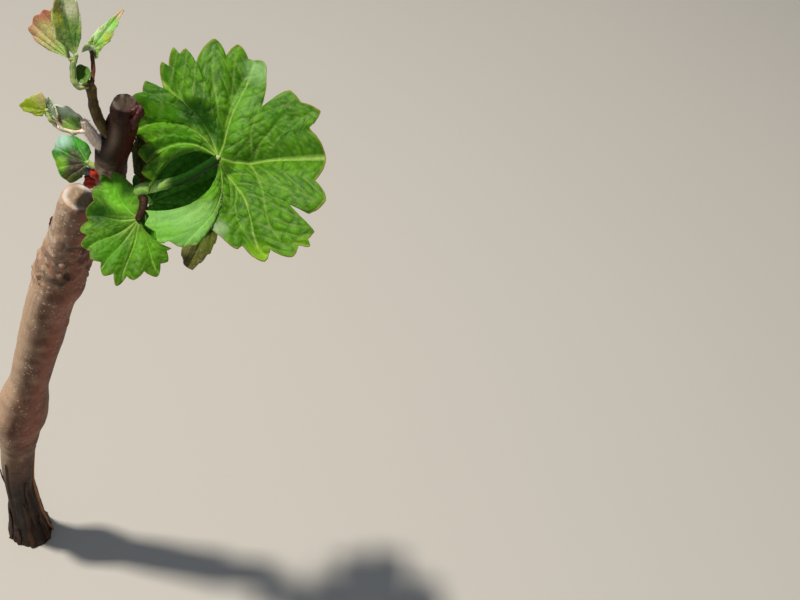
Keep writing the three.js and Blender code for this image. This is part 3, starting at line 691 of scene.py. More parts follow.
def spurSkin(p, heading):
    lift = 0.28 * noise.noise(p / 3.4) + 0.12 * fibre(p, heading, 7, 5)
    lift += 0.09 * fibre(p, heading, 18, 2.5)
    height, spread, depth = spur["collar"]
    lift += hill(p.z, height, spread) * depth * grain(p, 2, 0.9)
    height, spread, depth = spur["bud"]
    lift += depth * hill(p.z, height, spread) * clamp(cos(radians(turnFrom(heading, spur["budSide"]))))
    height, spread, depth = spur["neck"]
    return lift - depth * hill(p.z, height, spread)


def spurSun(p, heading, inward):
    streak = hill(turnFrom(heading, 262), 0, 16) * hill(p.z, 196, 4)
    foot = (1 - smooth(p.z, *spur["litFoot"])) * (1 - smooth(abs(turnFrom(heading, spur["litSide"])), 45, 80))
    return clamp(0.3 * streak + foot * (0.75 + 0.9 * noise.noise(p / 1.2)))


def spurRosy(p, heading, inward):
    return clamp(0.8 * hill(turnFrom(heading, -25), 0, 40) * (0.8 + 0.6 * noise.noise(p / 1.8)))


def spurWax(p, heading, inward):
    return clamp(smooth(p.z, 203.6, 205.5) * 0.15 * smooth(noise.noise(p / 1.3) + 0.3, 0.2, 0.5))


def spurCut(p, heading, inward):
    return 0.8 * smooth(inward, 0.1, 0.4) if p.z > spur["cut"] else 0


def buildSpur(material):
    paint = {"sun": spurSun, "rosy": spurRosy, "wax": spurWax, "cut": spurCut}
    bm = limbMesh(spur["rows"], spur["around"], spur["along"], spurSkin, paint, spur["capRings"])
    for vert in bm.verts:
        share = vert[bm.verts.layers.float["cut"]]
        if share > 0:
            vert.co.z += share * 0.5 * noise.noise(vert.co / 0.8)
    finishPiece("spurBark", bm, [material], ["spur"])
    print("spur done")


shoots = [
    {
        "piece": "shootTop", "node": "shoot_top", "look": "brownGreen", "slot": "shoot_skin",
        "rows": [
            (49, -11, 193.5, 1.6), (47.1, -12.6, 197.2, 1.9), (46, -13.4, 201.7, 2),
            (45.8, -13.7, 205.3, 1.7), (45.8, -13.9, 207.6, 1.9), (45.6, -14.1, 209.1, 1.1),
        ],
    },
    {
        "piece": "shootTip", "node": "shoot_tip", "look": "paleGreen", "slot": "shoot_skin",
        "rows": [
            (45.5, -14.3, 208.4, 0.9), (44.3, -15.5, 208.7, 1), (43.5, -15.5, 210, 1.1),
            (43.3, -14.9, 211.7, 1.1), (43.3, -14.5, 213.4, 0.8),
        ],
    },
    {
        "piece": "shootSide", "node": "shoot_side", "look": "downyPale", "slot": "downy_stem",
        "rows": [
            (47.4, -10.6, 190.5, 2), (45.4, -12.4, 193.6, 2.3), (44.3, -13.1, 196.4, 2),
            (43.4, -13.4, 199.2, 1.2),
        ],
    },
    {
        "piece": "shootLow", "node": "shoot_low", "look": "nodePink", "slot": "downy_stem",
        "rows": [
            (45.2, -8.6, 177.2, 2.4), (48.6, -11.2, 180.4, 2.3), (51.4, -12.3, 182, 2.6),
            (53.2, -12.9, 182.6, 2.2),
        ],
    },
]
shootRibs = 9    # round a shoot or stalk


def shootSkin(p, heading):
    ribs = 0.05 * cos(shootRibs * radians(heading))
    return ribs + 0.12 * noise.noise(p / 1.3) + 0.05 * noise.noise(p / 0.5)


def buildShoots(stems):
    for shoot in shoots:
        bm = limbMesh(shoot["rows"], 40, 70, shootSkin)
        finishPiece(shoot["piece"], bm, [stems[shoot["look"]]], [shoot["node"]])
    print("shoots done")


# Leaves. Angles turn from the midrib in degrees, seen from above; reach and lift are in mm. A tip is a
# tooth or lobe point and a sinus the bottom of a gap, each an angle, a reach and, where it isn't level, a
# lift. A vein row is its angle, the height of the pleat after it as a share of the way out, its sway in
# degrees and, where it has one, how far it turns on its way out. A crease has a depth and a half width in mm
# and runs through places, each an angle and a reach. A blush is a patch of another colour, some the leaf's
# own tints and some painted light and shade: its angle and reach, its radius in mm, its colour and how strong
# it is. A calm place, an angle, a reach and a radius in mm, has shallow blisters and grooves. A stalk's row
# is a middle and a diameter in mm, and painted shade darkens it to deep green between two distances in mm
# from its first row.

plainLeaf = {
    # what a leaf has where its own rows don't say otherwise
    "columns": 8, "sinuses": [], "creases": [], "tintsAndPaintedLight": [], "calm": None, "knobShare": 0.8,
    "paintedShadeBetween": (90, 99),
}

leaves = [
    {
        "piece": "leafBig", "node": "leaf_big", "look": "grown",
        "hub": (68.4, -10.9, 194.8), "heading": 19, "rise": 2, "bank": 30, "hubRadius": 0.5, "knob": 1.1,
        "notch": 0.1, "gape": 55, "fold": 0, "foldRun": 6, "arch": -4, "columns": 7, "rows": 118,
        "blister": 0.42, "blisterSize": 2.3, "sideVeins": 2.7, "veinWidth": 0.34, "curl": 0.5,
        "tips": [
            (-144, 17.3, 1.8), (-137.5, 19.3, 1.8), (-126, 20.4, 1.8), (-114.5, 19.2, 1.6),
            (-107, 18, 1.2), (-82, 18.4, 1), (-70.5, 22.2, 1.5), (-58.5, 24.3, 1.5), (-49.5, 24.8, 1.2),
            (-43.3, 23.6, 0.8), (-27, 22.3, 1.2), (-2, 20.8, 0.6), (21.5, 21.8, 0.8), (41, 19.7, -0.3),
            (63, 22.2, 0.2), (76.5, 23.8, -0.3), (87.6, 24.4, -1.4), (102, 23.2, -1.8),
            (106.8, 24.2, -2.1), (114.5, 22.9, -2.7), (128, 20.6, -2.8), (139, 20.2, -3.7),
            (152, 17.5, -4.4), (168, 15.2, -5.4), (183, 14.5, -6.2), (198, 14, -7),
        ],
        "sinuses": [
            (-139.5, 17.6, 1.8), (-130.5, 19, 1.8), (-121.5, 19.2, 1.7), (-111.5, 18.4, 1.4),
            (-99.5, 14, 0.2), (-91, 16, 0.6), (-79, 18, 1.1), (-65.5, 20.6, 1.5), (-53, 23.2, 1.3),
            (-48, 23.6, 1.1), (-41, 19.4, 0.6), (-38.5, 16.2, 0.3), (-37, 20.6, 0.3), (-17.5, 19, 0.8),
            (15.5, 18.6, 0.5), (31, 19.6, 0.1), (48, 13.6, -0.3), (53, 16.9, -0.1), (57, 19.2),
            (70.5, 21.8, -0.1), (82, 21.2, -0.8), (98.5, 20, -1.7), (105.5, 22.5, -2),
            (112.5, 21.4, -2.4), (122.5, 16.6, -2.5), (134, 19.2, -3.4), (144, 16.4, -3.9), (160, 14, -5),
            (175, 13, -5.8),
        ],
        "veins": [
            (-145, 0.05, 0, 0), (-112, 0.08, 4, 0), (-66, 0.08, 6, 0), (-2, 0.09, 0, 0), (71, 0.12, 3, -4),
            (122, 0.3, -2, -6), (147, 0.34, 0, 14), (172, 0.34, 0, 4), (198, 0, 0, 0),
        ],
        "creases": [
            (1.4, 2.4, (0, 1), (-2, 8), (-2, 20.5)),
            (1.5, 2.6, (86, 1), (74, 3.8), (80, 7.5), (78, 10.5), (72, 15.8), (66, 21)),
            (1.2, 2, (6, 7.3), (20, 8.9), (24, 10.9), (28, 13.3), (24, 17), (22, 21.1)),
            (0.5, 1.4, (10, 6.7), (38, 8.3), (48, 12.8)),
            (1.1, 1.7, (-60, 1), (-52, 2.6), (-56, 4.6), (-64, 6.7), (-80, 9.3), (-82, 12.1), (-78, 14.8),
             (-74, 18.1), (-70, 21.4)),
            (0.8, 1, (-60, 3.2), (-78, 5.3), (-86, 8.4), (-90, 11.6)),
            (0.5, 1.3, (-2, 5.9), (-26, 8.1), (-42, 10.9), (-52, 13.4), (-58, 16.5), (-59, 22)),
            (0.45, 1.3, (-2, 6), (-22, 7.6), (-31, 10.6), (-28, 21.7)),
            (0.7, 1.2, (94, 9), (94, 15.4), (92, 18.5), (90, 21.7)),
            (0.5, 1.1, (78, 9.7), (78, 15.8), (78, 20.4), (76, 23.6)),
            (1.2, 2.2, (136, 11.7), (128, 8.2), (114, 5.5)),
            (-0.9, 1.8, (130, 17.8), (130, 14.9), (120, 13.5), (108, 12.1), (96, 10.7), (86, 10.1)),
            (-0.7, 1.2, (140, 18.5), (140, 12.8), (142, 9.2)),
            (-0.8, 1.1, (158, 14), (157, 11.9), (153, 9.8), (144, 7.1), (140, 3.9)),
            (-0.8, 1, (175, 12.6), (178, 10.6), (186, 7.9), (195, 4.5)),
        ],
        # painted light and shade: dark patches for shade on the upper-left lobes and above the midrib, pale
        # and bright ones for sunlight and gloss on the lower lobes and beside the upper vein
        "tintsAndPaintedLight": [
            (120, 9.5, 4.5, "#123c02", 0.85), (132, 10.7, 4, "#123c02", 0.7),
            (112, 6.1, 3.5, "#174804", 0.7), (-96, 14.4, 2.2, "#98ae88", 0.6),
            (-124, 15.9, 6.5, "#7ab558", 0.75), (-138, 15.6, 5, "#78b05a", 0.65),
            (-129, 19, 3.5, "#4a8a28", 0.7), (126, 9.8, 3.5, "#1c4406", 0.6),
            (-128, 11.8, 4, "#86b860", 0.6), (-130, 18.6, 4, "#78b83a", 0.5),
            (-144, 6.9, 3, "#64a81c", 0.5), (134, 18.1, 4, "#1f5204", 0.6),
            (146, 12.9, 3, "#4c9010", 0.5), (170, 8, 4, "#509614", 0.5), (20, 15, 3.5, "#2c6008", 0.55),
            (36, 14, 3, "#34700c", 0.4), (58, 7.3, 3, "#6aa83a", 0.4), (64, 12.6, 4, "#6ca044", 0.5),
            (64, 20.2, 4, "#84ac70", 0.6), (-72, 20.5, 3, "#8cb81e", 0.4),
            (-52, 23.7, 2.5, "#7aa820", 0.4),
        ],
        "stalk": [
            (51.6, -12.8, 182.2, 2.5), (53.4, -13.1, 184.2, 2.4), (57.4, -13.2, 186.6, 2.1),
            (62.6, -12.6, 189.6, 1.8), (68.4, -10.9, 194.6, 1.7),
        ],
        # painted shade darkens this stalk from 7 to 11 mm along it, where the blade shades it
        "stalkLook": "paleGreenPaintedSunlit", "knobLook": "paleGreen", "paintedShadeBetween": (7, 11), "knobShare": 0.5,
        "calm": (-128, 14, 8),
    },
    {
        "piece": "leafLow", "node": "leaf_low", "look": "grown",
        "hub": (54.4, -17.6, 180.6), "heading": -126, "rise": -20, "bank": -29, "hubRadius": 0.4, "knob": 0.8,
        "notch": 0.12, "gape": 26, "fold": 0, "foldRun": 4, "arch": -12, "columns": 7, "rows": 60,
        "blister": 0.2, "blisterSize": 1.7, "sideVeins": 2, "veinWidth": 0.24, "curl": 0.3,
        "tips": [
            (-139, 2.2, 0.2), (-124, 6.6, 0.5), (-104, 10.6, 0.3), (-92, 11.4), (-76, 10.6, -0.4),
            (-50, 10.2, -0.8), (-29, 11.4, -0.8), (-15, 12.2, -0.6), (0, 12.2, -0.6), (18, 13.2, -0.8),
            (31, 13.9, -1), (43, 12.2, -1), (66, 11.8, -1.2), (82, 10, -1.2), (97, 8.4, -1),
        ],
        "sinuses": [(-131, 4.1, 0.4), (-114, 8.5, 0.4), (-63, 9.2, -0.4), (-7, 11.2, -0.4), (54, 10.4, -0.9)],
        "veins": [
            (-139, 0.1, 0), (-96, 0.14, 3), (-42, 0.16, 4), (-8, 0.2, 3), (14, 0.2, 2), (36, 0.18, 3),
            (70, 0.14, 3), (97, 0, 0),
        ],
        "creases": [
            (0.35, 1, (-60, 1), (-48, 6), (-29, 11)), (0.35, 1, (-96, 1), (-96, 6), (-103, 10.4)),
            (0.5, 1.3, (-8, 1), (2, 6), (0, 12)), (0.5, 1.3, (30, 1), (30, 7), (31, 13.5)),
            (0.35, 1, (60, 1), (66, 6), (66, 11.5)),
        ],
        # painted light and shade: the dark patches are a painted shadow across the blade, the bright ones
        # painted sunlight
        "tintsAndPaintedLight": [
            (-49, 8, 2.6, "#1f4a06", 0.75), (7, 8, 4, "#2e640c", 0.5), (-95, 5.2, 4, "#7cc838", 0.7),
            (-95, 8, 3.5, "#68b428", 0.5), (-47, 7.4, 3, "#1c4a04", 0.7), (-39, 4.7, 2, "#285c06", 0.5),
            (63, 5.3, 4, "#6cae26", 0.5), (7, 8.3, 4, "#5aa01a", 0.4),
        ],
        "stalk": [
            (52.2, -12.8, 182.4, 1.4), (54.4, -14.5, 183.3, 1.7), (54.8, -16.2, 182.3, 1.7),
            (54.3, -17.5, 180.8, 1.3),
        ],
        "stalkLook": "darkBrown",
    },
    {
        "piece": "leafUnder", "node": "leaf_under", "look": "olive",
        "hub": (67.3, -11.5, 177.7), "heading": -116, "rise": -46, "bank": -33, "hubRadius": 0.3, "knob": 0.6,
        "notch": 0, "gape": 10, "fold": 35, "foldRun": 1.5, "arch": -20, "rows": 44,
        "blister": 0.12, "blisterSize": 1.2, "sideVeins": 1.6, "veinWidth": 0.24, "curl": 0.2,
        "tips": [
            (-64, 3.6), (-45, 6, -0.3), (-25.5, 7.6, -0.4), (-16, 9.4, -0.3), (-3, 10.4, -0.1),
            (5, 10.6, -0.1), (13.5, 8.8, -0.3), (21.5, 6.6, -0.4), (35, 4.5, -0.6), (60, 2.6),
        ],
        "veins": [(-64, 0.16, 0), (-24, 0.2, 2), (0, 0.2, 0), (24, 0.16, 2), (60, 0, 0)],
        "tintsAndPaintedLight": [
            (10, 3.8, 3.5, "#5c6c1c", 0.6), (-12, 7.2, 2, "#8a8c50", 0.5), (-8, 10, 2, "#2c2c14", 0.5),
        ],
        "stalk": [
            (52.4, -12.4, 181.8, 1.1), (56, -10.4, 180.6, 1), (60.6, -9.2, 180.6, 0.9),
            (64.8, -10.2, 180.6, 0.9), (67.3, -11.5, 177.7, 0.9),
        ],
        "stalkLook": "brownGreen",
    },
    {
        "piece": "leafBehind", "node": "leaf_behind", "look": "olive",
        "hub": (52.9, -11, 185), "heading": 107, "rise": 64, "bank": 13, "hubRadius": 0.3, "knob": 0.6,
        "notch": 0, "gape": 8, "fold": 52, "foldRun": 1, "arch": 10, "rows": 40,
        "blister": 0.1, "blisterSize": 1.1, "sideVeins": 1.4, "veinWidth": 0.2, "curl": 0.1,
        "tips": [
            (-52, 2.6), (-30, 5, 0.2), (-12, 7.6, 0.2), (0, 9.4), (14, 7.8, 0.2), (31, 5, 0.2), (50, 2.6),
        ],
        "veins": [(-52, 0.12, 0), (-20, 0.16, 2), (0, 0.16, 0), (22, 0.12, 2), (50, 0, 0)],
        "stalk": [(52.2, -12.2, 182.2, 1.1), (52.7, -11.4, 183.8, 0.9), (52.9, -11, 185.2, 0.9)],
        "stalkLook": "brown",
    },
    {
        "piece": "leafInner", "node": "leaf_inner", "look": "shaded",
        "hub": (55, -12.4, 180.6), "heading": 29, "rise": 14, "bank": 36, "hubRadius": 0.3, "knob": 0.7,
        "notch": 0.06, "gape": 14, "fold": 0, "foldRun": 4, "arch": -10, "rows": 56,
        "blister": 0.2, "blisterSize": 1.6, "sideVeins": 2, "veinWidth": 0.22, "curl": 0.3,
        "tips": [
            (-150, 3.4), (-125, 6.4), (-104, 7.8, -0.1), (-81, 8, -0.1), (-57, 9.3, -0.3),
            (-38, 11.9, -0.4), (-21, 14.1, -0.4), (-5, 16.7, -0.1), (10.5, 17.2), (28, 16.4, -0.2),
            (43.5, 14.7, -0.4), (59.5, 12.5, -0.5), (74, 9.4, -0.4), (100, 6.5, -0.2), (135, 3.6),
        ],
        "veins": [
            (-150, 0.06, 0), (-100, 0.14, 3), (-62, 0.16, 3), (-26, 0.16, 3), (4, 0.16, 0), (34, 0.18, 3),
            (66, 0.14, 3), (100, 0.08, 0), (135, 0, 0),
        ],
        "stalk": [(52.6, -12.6, 182.2, 1.2), (54, -12.2, 181.6, 1.1), (55, -12.4, 180.8, 1)],
        "stalkLook": "paleGreenPaintedSunlit",
    },
    {
        "piece": "leafCup", "node": "leaf_cup", "look": "glossy",
        "hub": (41.6, -9.8, 185.2), "heading": -150, "rise": 4, "bank": -34, "hubRadius": 0.3, "knob": 0.7,
        "notch": 0, "gape": 12, "fold": -38, "foldRun": 6, "arch": 46, "rows": 52,
        "blister": 0.14, "blisterSize": 1.6, "sideVeins": 2, "veinWidth": 0.2, "curl": 0.3,
        "tips": [
            (-117, 2.6), (-90.5, 5, 0.2), (-70, 7.9, 0.4), (-50, 9.1, 0.2), (-33.5, 8.5), (-10.5, 6.4),
            (12.5, 6.1, -0.1), (37.5, 5.6, -0.2), (60, 3.2),
        ],
        "veins": [(-117, 0.1, 0), (-72, 0.12, 2), (-34, 0.12, 2), (0, 0.12, 0), (30, 0.1, 2), (60, 0, 0)],
        # the first two patches are a painted highlight at the top of the cup; the brown ones are the
        # shrivelled scale
        "tintsAndPaintedLight": [
            (-51, 7.8, 3, "#a8ccc0", 0.75), (-60, 6, 2, "#84b090", 0.4), (-77, 4.8, 2, "#2f9a10", 0.5),
            (-19, 2.7, 2.2, "#3a2c26", 0.85), (-45, 3.6, 1.2, "#43342c", 0.6),
            (27, 1.9, 2, "#3a2a22", 0.85), (23, 3.6, 2.2, "#3a2a22", 0.85),
            (-7, 5.3, 1.8, "#8cba34", 0.6), (32, 5.3, 2, "#55521f", 0.75),
        ],
        "stalk": [(45, -9.6, 183.4, 1.5), (43, -9.8, 184.6, 1.3), (41.6, -9.8, 185.2, 1.1)],
        "stalkLook": "paleGreen",
    },
    {
        "piece": "leafSideUpper", "node": "leaf_side_upper", "look": "downy",
        "hub": (42.9, -13, 196.4), "heading": -171, "rise": 30, "bank": -35, "hubRadius": 0.3, "knob": 0.6,
        "notch": 0.05, "gape": 8, "fold": 40, "foldRun": 1.5, "arch": -10, "rows": 36,
        "blister": 0.08, "blisterSize": 1, "sideVeins": 1.2, "veinWidth": 0.16, "curl": -0.4,
        "tips": [
            (-69, 1.7), (-45, 3.6, 0.1), (-28.5, 5.7, 0.1), (-15, 7.3), (3.5, 6.1), (32.5, 4.7),
            (60, 2.8),
        ],
        "veins": [(-69, 0.14, 0), (-26, 0.16, 2), (0, 0.16, 0), (26, 0.14, 2), (60, 0, 0)],
        "tintsAndPaintedLight": [
            (-19, 5.5, 1.8, "#e2ead8", 0.85), (-33, 4, 1.7, "#dae4cc", 0.85),
            (-11, 4.1, 1.3, "#a6ba88", 0.6), (-3, 2.3, 2, "#7aa63a", 0.85),
            (13, 5.2, 1.8, "#9a7260", 0.8), (33, 3.1, 1.7, "#7a9a3c", 0.7),
        ],
        "stalk": [(44.2, -13, 195.8, 1), (42.9, -13, 196.4, 0.9)],
        "stalkLook": "downyPale",
    },
    {
        "piece": "leafSideFold", "node": "leaf_side_fold", "look": "downy",
        "hub": (38.6, -15.4, 198.6), "heading": 116, "rise": 53, "bank": -15, "hubRadius": 0.25, "knob": 0.5,
        "notch": 0.05, "gape": 6, "fold": 44, "foldRun": 1, "arch": 10, "rows": 30,
        "blister": 0.07, "blisterSize": 0.9, "sideVeins": 1.1, "veinWidth": 0.14, "curl": -0.3,
        "tips": [(-39.5, 1.9), (-14, 3.4), (7.5, 5.1), (22.5, 4.2), (39.5, 2.1)],
        "veins": [(-39.5, 0.12, 0), (4, 0.14, 0), (39.5, 0, 0)],
        "tintsAndPaintedLight": [
            (16.5, 3.7, 2.2, "#8a9c88", 0.7), (26.5, 2, 1.8, "#6f8470", 0.7),
            (38.5, 0.6, 1.2, "#6c6452", 0.7),
        ],
        "stalk": [
            (44.2, -13.3, 197, 0.9), (42.4, -14.9, 197.4, 0.75), (40.2, -15.6, 197.9, 0.7),
            (38.6, -15.4, 198.6, 0.7),
        ],
        "stalkLook": "downyPale",
    },
    {
        "piece": "leafSideTip", "node": "leaf_side_tip", "look": "lime",
        "hub": (37.4, -15.3, 201.4), "heading": -169, "rise": 9, "bank": -29, "hubRadius": 0.25, "knob": 0.55,
        "notch": 0.05, "gape": 8, "fold": 16, "foldRun": 2, "arch": 12, "rows": 34,
        "blister": 0.08, "blisterSize": 1, "sideVeins": 1.2, "veinWidth": 0.14, "curl": 0.2,
        "tips": [
            (-77.5, 2.4), (-63, 3.6, 0.1), (-39, 3.7, 0.2), (-19, 4.2, 0.1), (-2.5, 5), (10, 4.2),
            (27, 2.5), (65.5, 1.3),
        ],
        "veins": [(-77.5, 0.1, 0), (-44, 0.16, 2), (0, 0.14, 0), (34, 0.1, 2), (65.5, 0, 0)],
        "tintsAndPaintedLight": [
            (-56.5, 3.1, 2, "#bca684", 0.8), (-27.5, 3.1, 2, "#8a9c1c", 0.6),
            (-3.5, 3.3, 2, "#7c9412", 0.7), (-43.5, 1.4, 1.2, "#8a8a4a", 0.5),
        ],
        "stalk": [(38.7, -15.5, 199, 0.7), (38.3, -16.2, 200.2, 0.65), (37.4, -15.3, 201.4, 0.6)],
        "stalkLook": "paleGreen",
    },
    {
        "piece": "leafTopLeft", "node": "leaf_top_left", "look": "bronze",
        "hub": (42.9, -14.4, 213.6), "heading": 157, "rise": 21, "bank": -35, "hubRadius": 0.25, "knob": 0.5,
        "notch": 0.035, "gape": 4, "fold": 10, "foldRun": 3, "arch": -14, "rows": 46,
        "blister": 0.1, "blisterSize": 1.1, "sideVeins": 1.3, "veinWidth": 0.16, "curl": 0.2,
        "tips": [
            (-35.5, 5.1), (-29.5, 8.9, 0.2), (-19, 9.5, 0.2), (-7.5, 9.4, 0.1), (7.5, 8.8), (15, 7.1),
            (22, 4.2),
        ],
        "veins": [(-35.5, 0.12, 0), (-16, 0.2, 2), (0, 0.2, 0), (12, 0.12, 2), (22, 0, 0)],
        "tintsAndPaintedLight": [
            (-3.5, 6.3, 2.8, "#b8b070", 0.6), (4.5, 1.8, 2.5, "#8fae5a", 0.8),
            (8.5, 8.3, 2.5, "#b0846a", 0.6), (-19.5, 8.7, 2.2, "#a86450", 0.6),
        ],
        "stalk": [(43.4, -14.6, 212.6, 0.7), (42.9, -14.4, 213.6, 0.65)],
        "stalkLook": "paleGreen",
    },
    {
        "piece": "leafTopCentre", "node": "leaf_top_centre", "look": "tipGreen",
        "hub": (43.7, -13.9, 214.2), "heading": 123, "rise": 52, "bank": 14, "hubRadius": 0.25, "knob": 0.5,
        "notch": 0.04, "gape": 4, "fold": 34, "foldRun": 1.5, "arch": -8, "rows": 46,
        "blister": 0.1, "blisterSize": 1.1, "sideVeins": 1.3, "veinWidth": 0.2, "curl": 0.2,
        "tips": [(-28, 3.2), (-17.5, 6.5), (-11.5, 9.4), (-2, 11.3), (12, 10.4), (29, 8.3), (49.5, 5)],
        "veins": [(-28, 0.12, 0), (-14, 0.16, 2), (2, 0.16, 0), (24, 0.14, 2), (49.5, 0, 0)],
        "tintsAndPaintedLight": [
            (20, 8.6, 2.4, "#7a6a24", 0.75), (26, 6.7, 2, "#b0b81c", 0.85), (20, 4.8, 2, "#7a9a2c", 0.6),
            (-6, 2.7, 1.6, "#3c6a20", 0.8), (4, 5.5, 1.4, "#4c7a28", 0.7), (-12, 6.8, 2, "#a8b488", 0.5),
            (-5, 8.4, 2.4, "#ccc8ac", 0.7), (44, 0.9, 1.2, "#9cb070", 0.6), (44, 3.9, 2, "#8aa44a", 0.5),
        ],
        "stalk": [(43.5, -14.5, 213, 0.7), (43.7, -13.9, 214.2, 0.65)],
        "stalkLook": "paleGreen",
    },
    {
        "piece": "leafTopRight", "node": "leaf_top_right", "look": "tipGreen",
        "hub": (44.1, -7.9, 211.6), "heading": 70, "rise": 25, "bank": 25, "hubRadius": 0.25, "knob": 0.8,
        "notch": 0.02, "gape": 4, "fold": 30, "foldRun": 1.2, "arch": 10, "rows": 42,
        "blister": 0.1, "blisterSize": 1.1, "sideVeins": 1.3, "veinWidth": 0.18, "curl": 0.2,
        "tips": [
            (-128, 2), (-112, 2.1), (-94, 1.5), (-76, 1.4), (-60, 1.6), (-45, 2.1), (-31, 3.1),
            (-17, 5.1), (-6, 7.4), (0, 10.4), (5, 7.3), (9, 5.8), (15, 4.6), (26, 2.8), (50, 1.6),
            (78, 1.3), (105, 1.5), (125, 1.7), (148, 1.9),
        ],
        "veins": [
            (-128, 0.1, 0), (-62, 0.1, 0), (-24, 0.14, 2), (0, 0.14, 0), (24, 0.1, 2), (62, 0.1, 0),
            (148, 0, 0),
        ],
        "tintsAndPaintedLight": [
            (14, 3.1, 1.6, "#d6e4ba", 0.8), (6, 5.4, 1.8, "#c4d8a4", 0.6), (-4, 2.9, 1.8, "#66b038", 0.8),
            (-2, 6.2, 2, "#78b848", 0.7), (-18, 3.5, 1.4, "#9aa42c", 0.75), (-2, 9, 1.6, "#c4a088", 0.8),
            (116, 0.9, 1.1, "#c8d0a8", 0.8), (-104, 1.5, 1.1, "#7aa848", 0.8),
        ],
        "knobShare": 0.9, "knobLook": "knobGreen",
        "stalk": [
            (45.8, -13.9, 208, 0.8), (45.7, -12.2, 209.3, 0.7), (45, -10, 210.9, 0.7),
            (44.1, -7.9, 211.6, 0.7),
        ],
        "stalkLook": "brown",
    },
    {
        "piece": "leafTopBract", "node": "leaf_top_bract", "look": "shaded",
        "hub": (45.5, -15.4, 209.6), "heading": 125, "rise": 18, "bank": -20, "hubRadius": 0.2, "knob": 0.45,
        "notch": 0.02, "gape": 4, "fold": 14, "foldRun": 1.5, "arch": 6, "rows": 24,
        "blister": 0.05, "blisterSize": 0.8, "sideVeins": 0.9, "veinWidth": 0.12, "curl": 0,
        "tips": [(-50, 2), (-22, 3.4), (0, 4.4), (24, 3.2), (50, 1.9)],
        "veins": [(-50, 0.08, 0), (0, 0.08, 0), (50, 0, 0)],
        "tintsAndPaintedLight": [(0, 2.5, 3, "#48661a", 0.9)],
        "stalk": [(45.7, -14.2, 208.4, 0.7), (45.5, -15.4, 209.6, 0.6)],
        "stalkLook": "brownGreen",
    },
]

creaseGap = 60         # degrees between veins at which a pleat has its full height
openFrom = 60          # degrees from the midrib at which a blade opens towards its stalk
bladeThickness = 0.3   # mm
sideVeinSlant = 0.9    # how far a side vein runs out along its main vein for each mm away from it
creaseRound = 0.35     # mm over which the bottom of a crease is rounded


def marginOf(leaf):
    # the corners by angle, each with whether it is a tip; two tips in a row get a shallow gap between them
    corners = sorted([(angle, reach, sum(lift), True) for angle, reach, *lift in leaf["tips"]]
                     + [(angle, reach, sum(lift), False) for angle, reach, *lift in leaf["sinuses"]])
    margin = []
    for here, after in zip(corners, corners[1:] + [None]):
        margin.append(here)
        if after and here[3] and after[3]:
            middle, lift = (here[0] + after[0]) / 2, (here[2] + after[2]) / 2
            margin.append((middle, (here[1] + after[1]) / 2 * (1 - leaf["notch"]), lift, False))
    return margin


def marginPoint(margin, gap, u):
    # angle, reach and lift on the margin; the sides of a tooth swell out towards its point
    a, b = margin[gap], margin[min(gap + 1, len(margin) - 1)]
    if a[3] and not b[3]:
        share = u ** 1.5
    elif b[3] and not a[3]:
        share = 1 - (1 - u) ** 1.5
    else:
        share = u
    return a[0] + (b[0] - a[0]) * u, a[1] + (b[1] - a[1]) * share, a[2] + (b[2] - a[2]) * u


def veinAngle(vein, share):
    return vein[0] + vein[2] * sin(1.9 * pi * share) + sum(vein[3:]) * (share - 0.5)


def toPath(x, y, path):
    # distance from a place on the blade to a path of angles and reaches, and how far along it that is
    nearest, part = 99.0, 0.0
    places = [(reach * cos(radians(angle)), reach * sin(radians(angle))) for angle, reach in path]
    for i, ((ax, ay), (bx, by)) in enumerate(zip(places, places[1:])):
        t = clamp(((x - ax) * (bx - ax) + (y - ay) * (by - ay)) / ((bx - ax) ** 2 + (by - ay) ** 2))
        distance = hypot(x - ax - t * (bx - ax), y - ay - t * (by - ay))
        if distance < nearest:
            nearest, part = distance, (i + t) / (len(places) - 1)
    return nearest, part


def pleat(leaf, angle, share):
    # how high the blade arches between two main veins, as a share of the reach
    veins = leaf["veins"]
    angle = clamp(angle, veins[0][0], veins[-1][0])
    for before, after in zip(veins, veins[1:]):
        low, high = veinAngle(before, share), veinAngle(after, share)
        if angle <= high or after is veins[-1]:
            part = clamp((angle - low) / (high - low))
            return before[1] * (high - low) / creaseGap * sin(pi * part)
    return 0


def bend(length, turn, run):
    # a length that turns evenly over its run and goes straight on: how far, how high and how steep it ends
    onArc = min(length, run)
    angle = turn * onArc / run
    past = length - onArc
    forward = onArc if turn == 0 else sin(angle) * run / turn
    rise = 0 if turn == 0 else (1 - cos(angle)) * run / turn
    return forward + past * cos(angle), rise + past * sin(angle), angle


def creaseShape(distance, half):
    return exp(-(hypot(distance, creaseRound) - creaseRound) / half)


def awayFrom(angle, reach, x, y):
    return hypot(x - reach * cos(radians(angle)), y - reach * sin(radians(angle)))


def calmAt(leaf, x, y):
    if not leaf["calm"]:
        return 0
    angle, reach, radius = leaf["calm"]
    return 1 - smooth(awayFrom(angle, reach, x, y), radius * 0.4, radius * 1.1)


